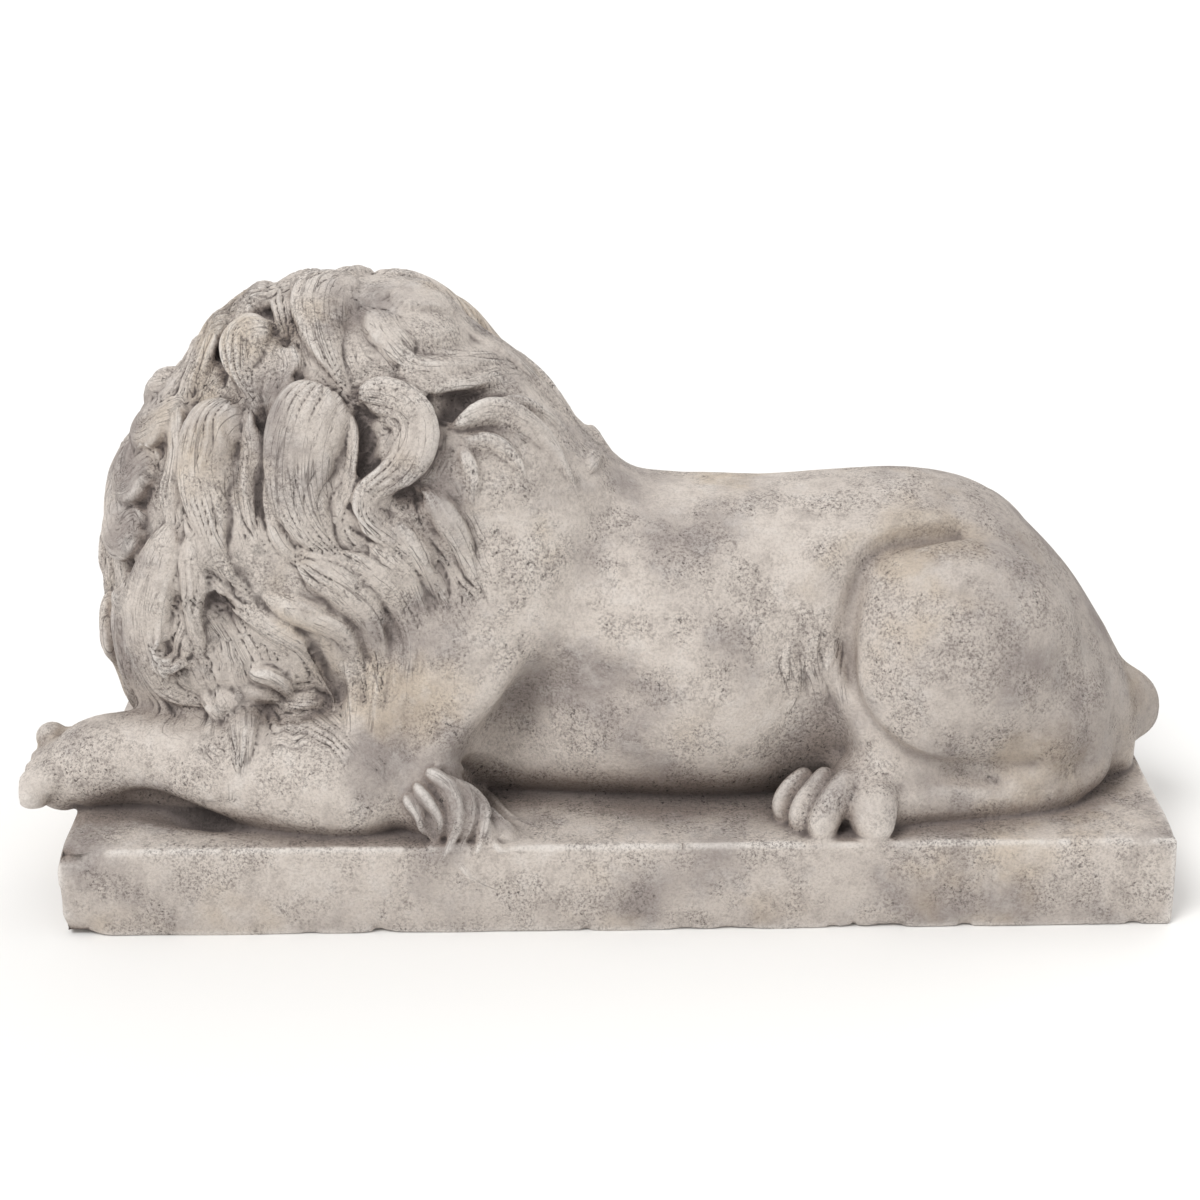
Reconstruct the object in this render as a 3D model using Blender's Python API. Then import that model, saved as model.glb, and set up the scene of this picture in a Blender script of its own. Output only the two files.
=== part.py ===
"""A recumbent garden lion, cast in stone in one piece with its plinth.

The lion lies along X with its chest to -X and its rump to +X. Its head is turned to +Y, so from -Y only
the back of the mane shows. The origin is the middle of the plinth's underside, with +Z up, in metres.

The figure is drawn on a grid of its own: each place on it is (x, y, z) in ninety-seventh parts of the
lion's length, 10 mm each at this size. The plinth's top is at the height BED of that grid.
"""

import math

import bmesh
import bpy
import numpy as np
from mathutils import Vector
from mathutils.bvhtree import BVHTree

# Driving dimensions, in metres.
PLINTH_LENGTH = 0.900
PLINTH_DEPTH = 0.360
PLINTH_HEIGHT = 0.077
PLINTH_EDGE_WEAR = 0.006
LION_LENGTH = 0.970

# The figure's grid.
GRID_PARTS = 97
GRID = LION_LENGTH / GRID_PARTS
BED = 7.2
UNDERSIDE = BED - 2.2
HALF_DEPTH = PLINTH_DEPTH / GRID / 2

# How finely the clay is fused, in grid parts, and how many triangles the cast keeps.
BODY_VOXEL = 0.5
CARVING_VOXEL = 0.34
LION_TRIANGLES = 9300

UP = (0.0, 0.0, 1.0)
NEAR_SIDE = -1
FAR_SIDE = 1


def unit(rows):
    """Rows of vectors, each made one long."""
    return rows / np.maximum(np.linalg.norm(rows, axis=-1, keepdims=True), 1e-9)


def spline(stations, count):
    """Rows on a Catmull-Rom curve through the stations, evenly spaced in its parameter."""
    knots = np.asarray(stations, float)
    knots = np.vstack([2 * knots[0] - knots[1], knots, 2 * knots[-1] - knots[-2]])
    at = np.linspace(0, len(knots) - 3, count)
    first = np.minimum(at.astype(int), len(knots) - 4)
    t = (at - first)[:, None]
    a, b, c, d = (knots[first + k] for k in range(4))
    return b + 0.5 * t * (c - a + t * (2 * a - 5 * b + 4 * c - d + t * (3 * (b - c) + d - a)))


def facing_out(points, faces):
    """The same skin with its faces turned outwards."""
    fans = np.array([(face[0], face[k], face[k + 1]) for face in faces for k in range(1, len(face) - 1)])
    a, b, c = (points[fans[:, k]] for k in range(3))
    volume = np.einsum("ij,ij->", a, np.cross(b, c))
    return points, faces if volume > 0 else [face[::-1] for face in faces]


def grid_skin(rings):
    """Points and faces of a closed skin through rings of points, with a pole at each end."""
    count, around = rings.shape[:2]
    points = np.vstack([rings.reshape(-1, 3), rings[0].mean(0), rings[-1].mean(0)])
    foot, head = count * around, count * around + 1
    faces = []
    for ring in range(count - 1):
        for step in range(around):
            after = (step + 1) % around
            low, high = ring * around, (ring + 1) * around
            faces.append((low + step, low + after, high + after, high + step))
    last = (count - 1) * around
    for step in range(around):
        after = (step + 1) % around
        faces.append((foot, after, step))
        faces.append((head, last + step, last + after))
    return facing_out(points, faces)


def limb(stations, squareness=2.0, rings=26, around=22, rounding=0.16):
    """A limb or trunk: ovals swept along a line.

    Each station is (x, y, z, half width, half height). The ends are rounded over a share of the length.
    """
    rows = spline(stations, rings)
    line, half = rows[:, :3], rows[:, 3:]
    along = np.linspace(0, 1, rings)
    from_end = np.minimum(np.minimum(along, 1 - along) / rounding, 1)
    half = half * np.sqrt(np.maximum(1 - (1 - from_end) ** 2, 0.0004))[:, None]
    ahead = unit(np.gradient(line, axis=0))
    side = unit(np.cross(ahead, UP))
    lift = np.cross(side, ahead)
    turn = np.linspace(0, 2 * math.pi, around, endpoint=False)
    power = 2 / squareness
    across = np.sign(np.cos(turn)) * np.abs(np.cos(turn)) ** power
    upward = np.sign(np.sin(turn)) * np.abs(np.sin(turn)) ** power
    rings_of_points = (
        line[:, None]
        + side[:, None] * (half[:, :1] * across)[..., None]
        + lift[:, None] * (half[:, 1:] * upward)[..., None]
    )
    return grid_skin(rings_of_points)


def ball(centre, radii, lean=0.0):
    """An egg of three radii about its centre, leaning about the Y axis by an angle in degrees."""
    rings, around = 14, 20
    polar = np.linspace(0.06, math.pi - 0.06, rings)[:, None]
    turn = np.linspace(0, 2 * math.pi, around, endpoint=False)[None]
    shape = np.stack(
        [np.sin(polar) * np.cos(turn), np.sin(polar) * np.sin(turn), np.cos(polar) + 0 * turn], axis=-1
    ) * np.asarray(radii, float)
    angle = math.radians(lean)
    x = shape[..., 0] * math.cos(angle) + shape[..., 2] * math.sin(angle)
    z = shape[..., 2] * math.cos(angle) - shape[..., 0] * math.sin(angle)
    return grid_skin(np.stack([x, shape[..., 1], z], axis=-1) + np.asarray(centre, float))


def mirrored(form):
    """The same form on the other side of the lion."""
    points, faces = form
    return points * np.array([1, -1, 1]), [face[::-1] for face in faces]


def clay_object(name, forms):
    """One mesh object that holds all the forms, still separate skins."""
    points, faces, count = [], [], 0
    for form_points, form_faces in forms:
        points.append(form_points)
        faces.extend(tuple(index + count for index in face) for face in form_faces)
        count += len(form_points)
    mesh = bpy.data.meshes.new(name)
    mesh.from_pydata(np.vstack(points).tolist(), [], faces)
    obj = bpy.data.objects.new(name, mesh)
    bpy.context.scene.collection.objects.link(obj)
    return obj


def evaluated_copy(obj, name):
    """The object's mesh as its modifiers leave it; the object itself is removed."""
    bpy.context.view_layer.update()
    graph = bpy.context.evaluated_depsgraph_get()
    mesh = bpy.data.meshes.new_from_object(obj.evaluated_get(graph))
    mesh.name = name
    bpy.data.objects.remove(obj)
    return mesh


def fused(name, forms, voxel, passes):
    """The forms fused into one skin, and smoothed by that many passes."""
    obj = clay_object(name, forms)
    remesh = obj.modifiers.new("fuse", "REMESH")
    remesh.mode = "VOXEL"
    remesh.voxel_size = voxel
    soften = obj.modifiers.new("soften", "SMOOTH")
    soften.factor = 0.5
    soften.iterations = passes
    return evaluated_copy(obj, name)


def outer_skin(mesh):
    """The mesh with only its largest skin left: no bubble inside it, no crumb outside it."""
    shape = bmesh.new()
    shape.from_mesh(mesh)
    left = set(shape.verts)
    skins = []
    while left:
        skin = [left.pop()]
        for corner in skin:
            for edge in corner.link_edges:
                other = edge.other_vert(corner)
                if other in left:
                    left.remove(other)
                    skin.append(other)
        skins.append(skin)
    largest = max(skins, key=len)
    for skin in skins:
        if skin is not largest:
            bmesh.ops.delete(shape, geom=skin, context="VERTS")
    shape.to_mesh(mesh)
    shape.free()
    return mesh


def arrays_of(mesh):
    """A mesh's points and their normals."""
    points = np.empty(len(mesh.vertices) * 3)
    mesh.vertices.foreach_get("co", points)
    normals = np.empty(len(mesh.vertices) * 3)
    mesh.vertex_normals.foreach_get("vector", normals)
    return points.reshape(-1, 3), normals.reshape(-1, 3)


def carve(mesh, line, radius, depth):
    """Presses a groove along a line into the skin, or raises a ridge where depth is negative."""
    points, normals = arrays_of(mesh)
    path = spline(line, 8 * len(line))
    nearest = np.full(len(points), 1e9)
    for start, end in zip(path[:-1], path[1:]):
        step = end - start
        share = np.clip((points - start) @ step / max(step @ step, 1e-9), 0, 1)
        gap = points - start - share[:, None] * step
        nearest = np.minimum(nearest, np.einsum("ij,ij->i", gap, gap))
    move = depth * np.exp(-nearest / radius**2)
    mesh.vertices.foreach_set("co", (points - normals * move[:, None]).ravel())
    mesh.update()


# The body.


def loft(stations, squareness=2.3, rings=48, around=44):
    """A skin through cross-sections along X.

    Each station is (x, underside, top, near half width, far half width). A section is a superellipse
    for each half, widest at 45 parts in 100 of its height.
    """
    x, low, high, near, far = spline(stations, rings).T[..., None]
    turn = np.linspace(0, 2 * math.pi, around, endpoint=False)
    power = 2 / squareness
    across = np.sign(np.cos(turn)) * np.abs(np.cos(turn)) ** power
    upward = np.sign(np.sin(turn)) * np.abs(np.sin(turn)) ** power
    waist = low + (high - low) * 0.45
    y = np.where(across < 0, near, far) * across
    z = waist + np.where(upward > 0, high - waist, waist - low) * upward
    return grid_skin(np.stack([x + 0 * y, y, z], axis=-1))


def trunk():
    """Chest, ribs, waist and rump in one, from between the forelegs to the tail."""
    sections = [
        (-38, 24, 5.5),
        (-32, 30, 8.0),
        (-24, 34, 9.8),
        (-15, 34.8, 11.0),
        (-7, 34.2, 11.6),
        (0, 33.0, 12.6),
        (7, 32.1, 13.3),
        (13, 32.1, 12.5),
        (19, 32.5, 10.9),
        (25, 32.6, 10.7),
        (31, 31.1, 10.9),
        (36, 26.8, 10.1),
        (40, 21.8, 8.5),
        (43, 16.6, 6.0),
        (44.4, 13.5, 4.0),
    ]
    return loft([(x, UNDERSIDE, top, half, half) for x, top, half in sections])


def mane_mass():
    """The body of the mane, under its locks, from the brow to the withers."""
    return loft(
        [
            (-41.8, 13, 27.0, 2.5, 4.5),
            (-40.4, 12, 32.4, 6.2, 7.2),
            (-37.8, 11, 37.6, 9.0, 9.4),
            (-34.0, 10, 42.2, 11.2, 10.8),
            (-29.5, 10, 46.8, 12.4, 11.2),
            (-25.0, 10, 48.6, 12.8, 11.4),
            (-20.0, 12, 49.3, 12.6, 11.8),
            (-15.0, 17, 49.0, 12.2, 12.0),
            (-11.0, 22, 45.6, 11.6, 11.6),
            (-7.0, 26, 41.8, 10.6, 10.6),
            (-3.5, 29, 37.8, 8.4, 8.4),
            (0.0, 30, 34.2, 5.6, 5.6),
            (3.0, 30, 32.0, 2.0, 2.0),
        ],
        squareness=2.1,
    )


def breast():
    """The stone left standing between the forelegs, under the beard."""
    return limb(
        [
            (-26, -0.6, 9.0, 7.0, 4.0),
            (-34, -0.6, 9.0, 6.0, 4.0),
            (-40, -0.8, 8.6, 4.4, 3.4),
            (-43.2, -0.8, 7.4, 3.2, 1.8),
        ],
        rounding=0.05,
    )


def thigh():
    """Haunch, thigh and hock of the near hind leg."""
    return [
        ball((28.2, -8.6, 19.3), (10.2, 7.0, 10.2), lean=8),
        ball((25.0, -10.0, 16.6), (7.2, 5.6, 8.0), lean=0),
        ball((34.6, -8.4, 14.0), (6.2, 5.4, 6.8), lean=25),
        ball((38.4, -8.6, 10.6), (3.0, 2.8, 3.6), lean=0),
    ]


def hind_foot():
    """Heel and foot of the near hind leg, flat on the plinth."""
    return [
        limb(
            [
                (39.4, -9.0, 9.2, 2.0, 2.4),
                (35.0, -10.6, 9.0, 2.6, 2.9),
                (29.0, -12.1, 8.9, 2.5, 2.7),
                (23.5, -13.1, 9.6, 3.2, 3.0),
                (19.2, -14.2, 10.0, 4.2, 3.6),
                (16.2, -14.4, 9.4, 3.8, 3.0),
            ],
            squareness=2.4,
            rounding=0.12,
        )
    ]


def foreleg(elbow, wrist, paw):
    """Shoulder, upper arm and forearm down to the paw's back."""
    side = math.copysign(1, elbow[1])
    forearm = np.linspace(elbow, wrist, 4)[1:3]
    return [
        ball((-9.4, 6.6 * side, 25.6), (8.4, 5.8, 10.4), lean=20),
        ball((-13.4, 8.5 * side, 18.8), (7.4, 5.4, 9.2), lean=28),
        ball((elbow[0] - 1.6, 10.6 * side, 13.4), (5.2, 4.6, 5.0)),
        ball((paw[0] + 0.4, paw[1], paw[2] + 0.1), (3.6, 4.2, 2.9)),
        limb(
            [
                (-8.0, 8.6 * side, 24.6, 2.6, 4.6),
                (-11.6, 10.6 * side, 18.0, 2.8, 3.6),
                (elbow[0] + 1.2, elbow[1] * 0.96, elbow[2] + 0.6, 2.4, 2.6),
            ],
            rounding=0.15,
        ),
        limb(
            [
                (elbow[0] + 1.0, elbow[1] * 0.99, elbow[2] - 0.6, 2.4, 3.2),
                (elbow[0] - 3.0, elbow[1] * 0.98, elbow[2] - 0.2, 3.8, 4.8),
                (forearm[0][0], forearm[0][1] * 1.05, forearm[0][2], 4.4, 5.2),
                (forearm[1][0], forearm[1][1] * 1.06, forearm[1][2] - 0.2, 4.0, 4.7),
                (*wrist, 3.4, 4.0),
                (wrist[0] * 0.4 + paw[0] * 0.6, wrist[1] * 0.4 + paw[1] * 0.6, wrist[2] - 0.5, 4.4, 3.8),
                (*paw, 4.4, 3.1),
            ],
            rings=36,
            rounding=0.08,
        ),
    ]


NEAR_FORELEG = {"elbow": (-17.6, -13.9, 11.0), "wrist": (-37.6, -8.6, 11.0), "paw": (-46.2, -6.4, 8.7)}
FAR_FORELEG = {"elbow": (-16.6, 13.9, 11.0), "wrist": (-32.4, 9.6, 10.8), "paw": (-39.0, 7.6, 9.2)}


def tail():
    """The tail: out over the plinth's end, down, and round along the far side."""
    return limb(
        [
            (38.0, 0.0, 14.5, 3.0, 3.4),
            (43.4, 0.0, 12.0, 3.0, 3.2),
            (44.8, 2.6, 10.2, 2.6, 2.9),
            (42.8, 7.6, 9.2, 2.1, 2.3),
            (36.0, 13.0, 8.9, 1.8, 2.0),
            (27.0, 15.4, 8.9, 1.7, 1.9),
            (20.5, 15.8, 9.2, 2.6, 2.5),
            (14.5, 15.2, 8.8, 1.2, 1.4),
        ],
        rings=60,
        rounding=0.04,
    )


def toes(tips, knuckles, radius):
    """One toe for each tip and knuckle."""
    return [
        limb([(*knuckle, radius * 0.9, radius * 0.9), (*tip, radius, radius)], rings=12, rounding=0.45)
        for tip, knuckle in zip(tips, knuckles)
    ]


def hind_toes():
    """Four toes of the near hind foot, fanned towards the plinth's edge."""
    tips = [(14.4, -13.2, 9.0), (15.6, -15.6, 8.9), (18.8, -16.9, 8.8), (22.4, -16.6, 8.6)]
    knuckles = [(17.4, -12.6, 11.2), (18.4, -13.6, 11.4), (20.6, -14.6, 11.2), (23.4, -14.6, 10.4)]
    return toes(tips, knuckles, 1.95)


def front_toes(paw, reach, drop):
    """Four toes of a forepaw, their tips below the paw by a drop."""
    spread = np.array([-3.5, -1.2, 1.2, 3.4])
    tips = [(paw[0] - reach + 0.3 * abs(s), paw[1] + s * 1.05, paw[2] - drop) for s in spread]
    knuckles = [(paw[0] + 0.8, paw[1] + s * 0.85, paw[2] + 1.3) for s in spread]
    return toes(tips, knuckles, 1.9)


# The face, in the head's own frame: sideways, forwards, upwards from the middle of the skull.

SKULL = np.array([-26.4, 3.6, 34.4])
FORWARDS = unit(np.array([-0.42, 0.9, -0.10]))
SIDEWAYS = unit(np.cross(FORWARDS, UP))
UPWARDS = np.cross(SIDEWAYS, FORWARDS)


def turned(form):
    """A form drawn in the head's frame, put in its place on the lion."""
    points, faces = form
    return SKULL + points @ np.stack([SIDEWAYS, FORWARDS, UPWARDS]), faces


def both(form):
    """A form of the face and its twin on the other cheek."""
    points, faces = form
    return [turned(form), turned((points * np.array([-1, 1, 1]), [face[::-1] for face in faces]))]


def skull_mass():
    """Skull, brow, bridge and jaws in one: sections from the skull forwards to the nose."""
    points, faces = loft(
        [
            (-2, -10.0, 9.0, 8.6, 8.6),
            (3, -10.4, 9.6, 8.8, 8.8),
            (6, -10.2, 9.0, 8.0, 8.0),
            (8, -9.8, 7.2, 6.6, 6.6),
            (9.6, -9.2, 5.0, 5.4, 5.4),
            (11.6, -8.8, 3.6, 4.4, 4.4),
            (14.0, -8.2, 2.4, 3.8, 3.8),
            (15.4, -7.2, 1.2, 3.2, 3.2),
            (16.2, -5.4, -0.6, 2.2, 2.2),
        ],
        squareness=2.2,
        rings=36,
        around=36,
    )
    return points[:, [1, 0, 2]], [face[::-1] for face in faces]


def head():
    """The soft masses of the head: skull, bridge, nose, chin, muzzle, cheeks, forehead and brows."""
    bridge = limb([(0, 5.0, 8.0, 2.9, 1.9), (0, 9.8, 4.9, 2.5, 1.7), (0, 14.8, 1.6, 2.3, 1.4)], 2.8)
    return [
        turned(skull_mass()),
        turned(bridge),
        turned(ball((0, 15.7, 0.4), (2.5, 1.5, 1.5))),
        turned(ball((0, 12.7, -8.0), (3.0, 2.9, 2.3))),
        *both(ball((2.5, 13.6, -3.1), (3.0, 3.0, 2.9))),
        *both(ball((6.0, 5.6, -2.8), (3.4, 4.4, 5.0))),
        *both(ball((5.2, 8.2, -0.2), (2.3, 2.2, 1.7))),
        *both(ball((2.8, 6.2, 7.2), (3.6, 3.4, 2.7))),
        *both(limb([(1.6, 10.4, 4.9, 1.2, 1.1), (4.2, 9.9, 6.0, 1.3, 1.1), (7.4, 7.0, 4.7, 1.1, 1.0)])),
    ]


def face():
    """The sharper parts of the face: eyeballs, lids, nose leather and ears."""
    return [
        *both(ball((3.9, 8.7, 2.5), (1.7, 1.5, 1.45))),
        *both(limb([(2.0, 10.2, 2.0, 0.5, 0.45), (3.8, 10.3, 3.8, 0.55, 0.5), (6.1, 8.4, 2.9, 0.5, 0.45)])),
        *both(limb([(2.0, 10.2, 1.8, 0.45, 0.4), (4.0, 10.1, 1.0, 0.5, 0.4), (6.1, 8.4, 2.5, 0.45, 0.4)])),
        turned(limb([(0, 16.4, 1.5, 2.3, 0.7), (0, 17.1, 0.2, 1.9, 0.9), (0, 16.8, -1.3, 0.7, 0.6)])),
        *both(ball((1.7, 16.3, -0.1), (1.0, 1.1, 1.0))),
        *both(ball((10.6, -0.6, 5.6), (2.4, 1.4, 2.6))),
    ]


# Hollows of the head, in its own frame, with radius and depth: eye sockets, cheek folds and brow furrow.
HEAD_HOLLOWS = [
    ([(3.0, 10.2, 2.8), (4.8, 9.2, 2.8)], 1.6, 1.2),
    ([(2.6, 12.2, 0.6), (4.9, 11.2, -1.2), (5.8, 9.4, -4.6)], 0.9, 0.55),
    ([(0, 11.6, 5.0), (0, 9.8, 8.0), (0, 7.6, 9.8)], 0.9, 0.3),
]


def carve_in_head(mesh, lines):
    """Press lines given in the head's frame into a mesh, on both cheeks."""
    for line, radius, depth in lines:
        for cheek in (-1, 1):
            places = SKULL + (np.array(line) * (cheek, 1, 1)) @ np.stack([SIDEWAYS, FORWARDS, UPWARDS])
            carve(mesh, places, radius, depth)


# The mane and the other hair.


def fitted(bed, points):
    """Where points meet the skin of the body, and which way that skin faces there."""
    seats, faces_out = [], []
    for point in points:
        place, normal, _, _ = bed.find_nearest(Vector(point))
        seats.append(place)
        faces_out.append(normal)
    seats, faces_out = np.array(seats), np.array(faces_out)
    for rows in (seats, faces_out):
        for _ in range(4):
            rows[1:-1] = (rows[:-2] + 2 * rows[1:-1] + rows[2:]) / 4
    return seats, unit(faces_out)


def on_side(bed, places, side):
    """Points on the skin where (x, z) places are seen from the near side or the far side."""
    found = []
    for x, z in places:
        hit = bed.ray_cast(Vector((x, 60.0 * side, z)), Vector((0, -side, 0)))[0]
        found.append(tuple(hit or bed.find_nearest(Vector((x, 0, z)))[0]))
    return found


def around_mane(bed, angle, z):
    """The point of the skin at this height, seen from this angle about the middle of the mane."""
    outwards = Vector((math.cos(angle), math.sin(angle), 0))
    middle = Vector((MANE_MIDDLE, 0, z))
    hit = bed.ray_cast(middle + outwards * 60, -outwards)[0]
    return tuple(hit or bed.find_nearest(middle)[0])


def s_curve(root, tip, bow, curl, count=9):
    """A cubic curve from root to tip, its two handles put aside by shares of its length."""
    root, tip = np.asarray(root, float), np.asarray(tip, float)
    aside = np.array([root[1] - tip[1], tip[0] - root[0]])
    first = root + (tip - root) / 3 + aside * bow
    second = tip - (tip - root) / 3 + aside * curl
    t = np.linspace(0, 1, count)[:, None]
    return (1 - t) ** 3 * root + 3 * (1 - t) ** 2 * t * first + 3 * (1 - t) * t**2 * second + t**3 * tip


def lock(bed, line, width, rise):
    """A tapering lock of hair that lies on the skin, thick near its root and pointed at its tip."""
    rings, around = 24, 14
    seats, out = fitted(bed, spline(line, rings))
    ahead = unit(np.gradient(seats, axis=0))
    side = unit(np.cross(ahead, out))
    along = np.linspace(0.012, 0.988, rings)
    spread = width * np.sin(math.pi * along**0.62) ** 0.7
    height = rise * np.sin(math.pi * along**0.55) ** 0.75
    turn = np.linspace(0, 2 * math.pi, around, endpoint=False)
    points = (
        seats[:, None]
        + out[:, None] * (height[:, None] * (np.sin(turn) + 0.2))[..., None]
        + side[:, None] * (spread[:, None] * np.cos(turn))[..., None]
    )
    return grid_skin(points)


ELBOW_LOCKS = 7
MANE_MIDDLE = -24.0
LOCK_RISE = 0.78

# Locks of the near side as they are seen: root (x, z), tip (x, z), bow, curl, half width.
NEAR_LOCKS = [
    # Crown and crest.
    ((-29.0, 49.4), (-28.8, 45.4), 0.25, 0.1, 2.1),
    ((-25.8, 49.4), (-25.8, 45.6), 0.2, 0.1, 1.8),
    ((-22.6, 49.0), (-20.9, 42.2), 0.12, 0.0, 2.5),
    ((-32.0, 48.0), (-35.2, 41.4), -0.1, -0.1, 2.1),
    ((-33.0, 44.0), (-32.6, 41.8), 0.0, 0.0, 1.2),
    ((-28.3, 46.8), (-27.9, 41.6), 0.12, 0.1, 2.0),
    ((-20.6, 47.4), (-9.8, 45.4), 0.1, 0.14, 2.9),
    ((-12.0, 45.6), (-1.0, 34.4), 0.06, 0.1, 2.4),
    # Cheek and temple.
    ((-37.0, 41.2), (-37.0, 34.4), -0.1, 0.1, 2.0),
    ((-40.2, 37.4), (-42.0, 31.0), 0.0, 0.0, 1.6),
    ((-31.0, 42.4), (-32.0, 33.2), -0.06, 0.05, 2.5),
    ((-28.7, 41.6), (-28.4, 31.4), 0.03, -0.03, 1.3),
    ((-24.6, 43.6), (-26.2, 34.8), 0.45, 0.36, 2.7),
    ((-26.4, 36.6), (-20.8, 29.4), -0.42, -0.34, 2.0),
    ((-24.2, 35.4), (-20.4, 31.0), -0.3, -0.2, 1.3),
    ((-19.0, 43.6), (-19.4, 34.8), 0.62, 0.5, 2.8),
    ((-20.6, 42.0), (-20.4, 35.6), 0.15, 0.15, 1.5),
    # Neck.
    ((-18.6, 46.8), (-7.4, 42.8), -0.12, -0.02, 1.5),
    ((-14.6, 43.0), (-7.4, 41.8), -0.05, 0.08, 1.1),
    ((-11.8, 40.8), (-3.0, 37.2), 0.22, 0.16, 1.4),
    ((-10.8, 40.4), (-2.6, 32.8), 0.2, 0.2, 1.6),
    ((-10.6, 39.2), (-5.6, 34.8), 0.18, 0.16, 1.2),
    ((-12.6, 39.2), (-11.2, 31.8), 0.1, 0.08, 1.2),
    ((-2.2, 35.4), (0.4, 33.4), 0.2, 0.2, 1.0),
    # Long sweeps over the shoulder.
    ((-19.2, 35.8), (-13.2, 24.8), -0.15, 0.12, 1.8),
    ((-16.2, 33.6), (-10.5, 25.8), 0.1, 0.16, 1.8),
    ((-19.2, 31.4), (-15.1, 22.4), 0.12, 0.15, 1.3),
    ((-21.6, 30.6), (-16.0, 22.2), 0.1, 0.15, 1.5),
    ((-24.8, 29.8), (-19.2, 17.6), 0.2, 0.3, 1.7),
    ((-27.6, 26.8), (-20.9, 17.4), 0.12, 0.3, 1.5),
    ((-32.4, 28.8), (-23.4, 15.8), 0.0, 0.26, 1.6),
    ((-34.0, 32.8), (-27.4, 24.8), -0.05, 0.0, 1.6),
    ((-22.6, 23.2), (-21.6, 17.2), 0.1, 0.05, 1.4),
    # Over the forearm.
    ((-29.6, 20.4), (-26.0, 16.8), 0.25, 0.2, 1.2),
    ((-32.0, 18.8), (-30.2, 12.6), 0.0, 0.15, 1.4),
    ((-30.0, 18.4), (-28.6, 13.6), 0.15, 0.1, 1.1),
    # Breast.
    ((-35.8, 32.0), (-36.8, 17.6), -0.05, 0.0, 2.4),
    ((-37.2, 20.5), (-33.2, 16.0), -0.35, -0.25, 1.4),
    ((-39.6, 30.0), (-39.8, 17.0), 0.05, -0.05, 1.8),
    ((-41.4, 32.6), (-41.8, 25.6), 0.0, 0.0, 1.6),
    ((-42.2, 26.8), (-42.4, 18.6), -0.1, 0.0, 1.3),
]


def near_hair(bed):
    """The locks that the near side shows."""
    return [
        lock(bed, on_side(bed, s_curve(root, tip, bow, curl), NEAR_SIDE), width, width * LOCK_RISE)
        for root, tip, bow, curl, width in NEAR_LOCKS
    ]


def far_neck_hair(bed):
    """The near side's neck and shoulder locks again on the far side, behind the face."""
    return [
        lock(bed, on_side(bed, s_curve(root, tip, bow, curl), FAR_SIDE), width, width * LOCK_RISE)
        for root, tip, bow, curl, width in NEAR_LOCKS
        if root[0] > -21.0 and tip[0] > -20.0
    ]


def face_ring_hair(bed):
    """Two rings of locks that frame the face, each swept outwards and hanging a little."""
    forms = []
    for ring, (start, end, push, width) in enumerate([(8.6, 14.5, 3.4, 2.1), (12.2, 19.0, -0.5, 2.4)]):
        for angle in np.radians(np.arange(0, 360, 22.5) + 11 * ring):
            rim = np.array([math.cos(angle), 0, math.sin(angle)])
            sway = 0.8 * math.sin(3 * angle + ring)
            line = []
            for share in np.linspace(0, 1, 5):
                radius = start + (end - start) * share
                place = rim * radius * np.array([0.95, 1, 1.0])
                place[1] = push - 5.0 * share
                place[0] += sway * math.sin(math.pi * share * 1.5)
                world = SKULL + place @ np.stack([SIDEWAYS, FORWARDS, UPWARDS])
                world[2] -= 3.0 * share**2
                line.append(world)
            forms.append(lock(bed, line, width, width * LOCK_RISE))
    return forms


def hanging_hair(bed):
    """Rows of locks that hang round the breast and the far cheek, below and before the face."""
    draw = np.random.default_rng(7)
    forms = []
    rows = [(47.5, 40.0, 150, 200), (43.0, 34.0, 160, 190), (36.0, 26.0, 160, 190)]
    rows += [(29.0, 18.0, 142, 190), (23.0, 12.5, 50, 190)]
    for row, (top, bottom, first, last) in enumerate(rows):
        step = 11.0
        for angle in np.arange(first + step / 2 * (row % 2), last, step):
            swing = draw.uniform(-4, 4)
            sway = draw.uniform(3, 7) * draw.choice([-1, 1])
            width = draw.uniform(1.7, 2.3)
            drop = draw.uniform(-1.2, 1.2)
            line = [
                around_mane(
                    bed,
                    math.radians(angle + swing * share + sway * math.sin(2 * math.pi * share) * 0.6),
                    top + drop + (bottom - top) * share,
                )
                for share in np.linspace(0, 1, 6)
            ]
            forms.append(lock(bed, line, width, width * LOCK_RISE))
    return forms


def elbow_line(side, fan):
    """A line of the tuft behind the elbow: from the arm, over the plinth's edge and down its side."""
    edge = HALF_DEPTH * side
    return [
        (-18.2 + 2.0 * fan, edge - 2.4 * side, BED + 5.6 + 0.6 * fan),
        (-16.6 + 2.6 * fan, edge - 1.2 * side, BED + 2.6 + 0.6 * fan),
        (-15.0 + 3.4 * fan, edge - 0.2 * side, BED + 0.4),
        (-13.6 + 4.2 * fan, edge, BED - 1.6),
        (-12.4 + 4.8 * fan, edge, BED - 3.2 + 1.6 * abs(fan) ** 3),
    ]


def elbow_hair(bed, side):
    """The locks of one elbow's tuft, fanned out."""
    return [lock(bed, elbow_line(side, fan), 1.35, 0.95) for fan in np.linspace(-1, 1, ELBOW_LOCKS)]


def part_elbow_hair(mesh, side):
    """Cuts the valleys between the locks of one elbow's tuft."""
    step = 2 / (ELBOW_LOCKS - 1)
    for fan in np.arange(-1 + step / 2, 1, step):
        carve(mesh, elbow_line(side, fan)[1:-1], 0.7, 0.4)


def belly_hair(bed, side):
    """Three small tufts on the flank, in front of the thigh."""
    places = [((15.0, 21.0), (15.0, 15.4)), ((16.6, 21.4), (16.8, 14.0)), ((18.0, 20.4), (18.4, 14.8))]
    return [
        lock(bed, on_side(bed, s_curve(root, tip, -0.2, 0.2), side), 0.9, 0.6) for root, tip in places
    ]


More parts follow.
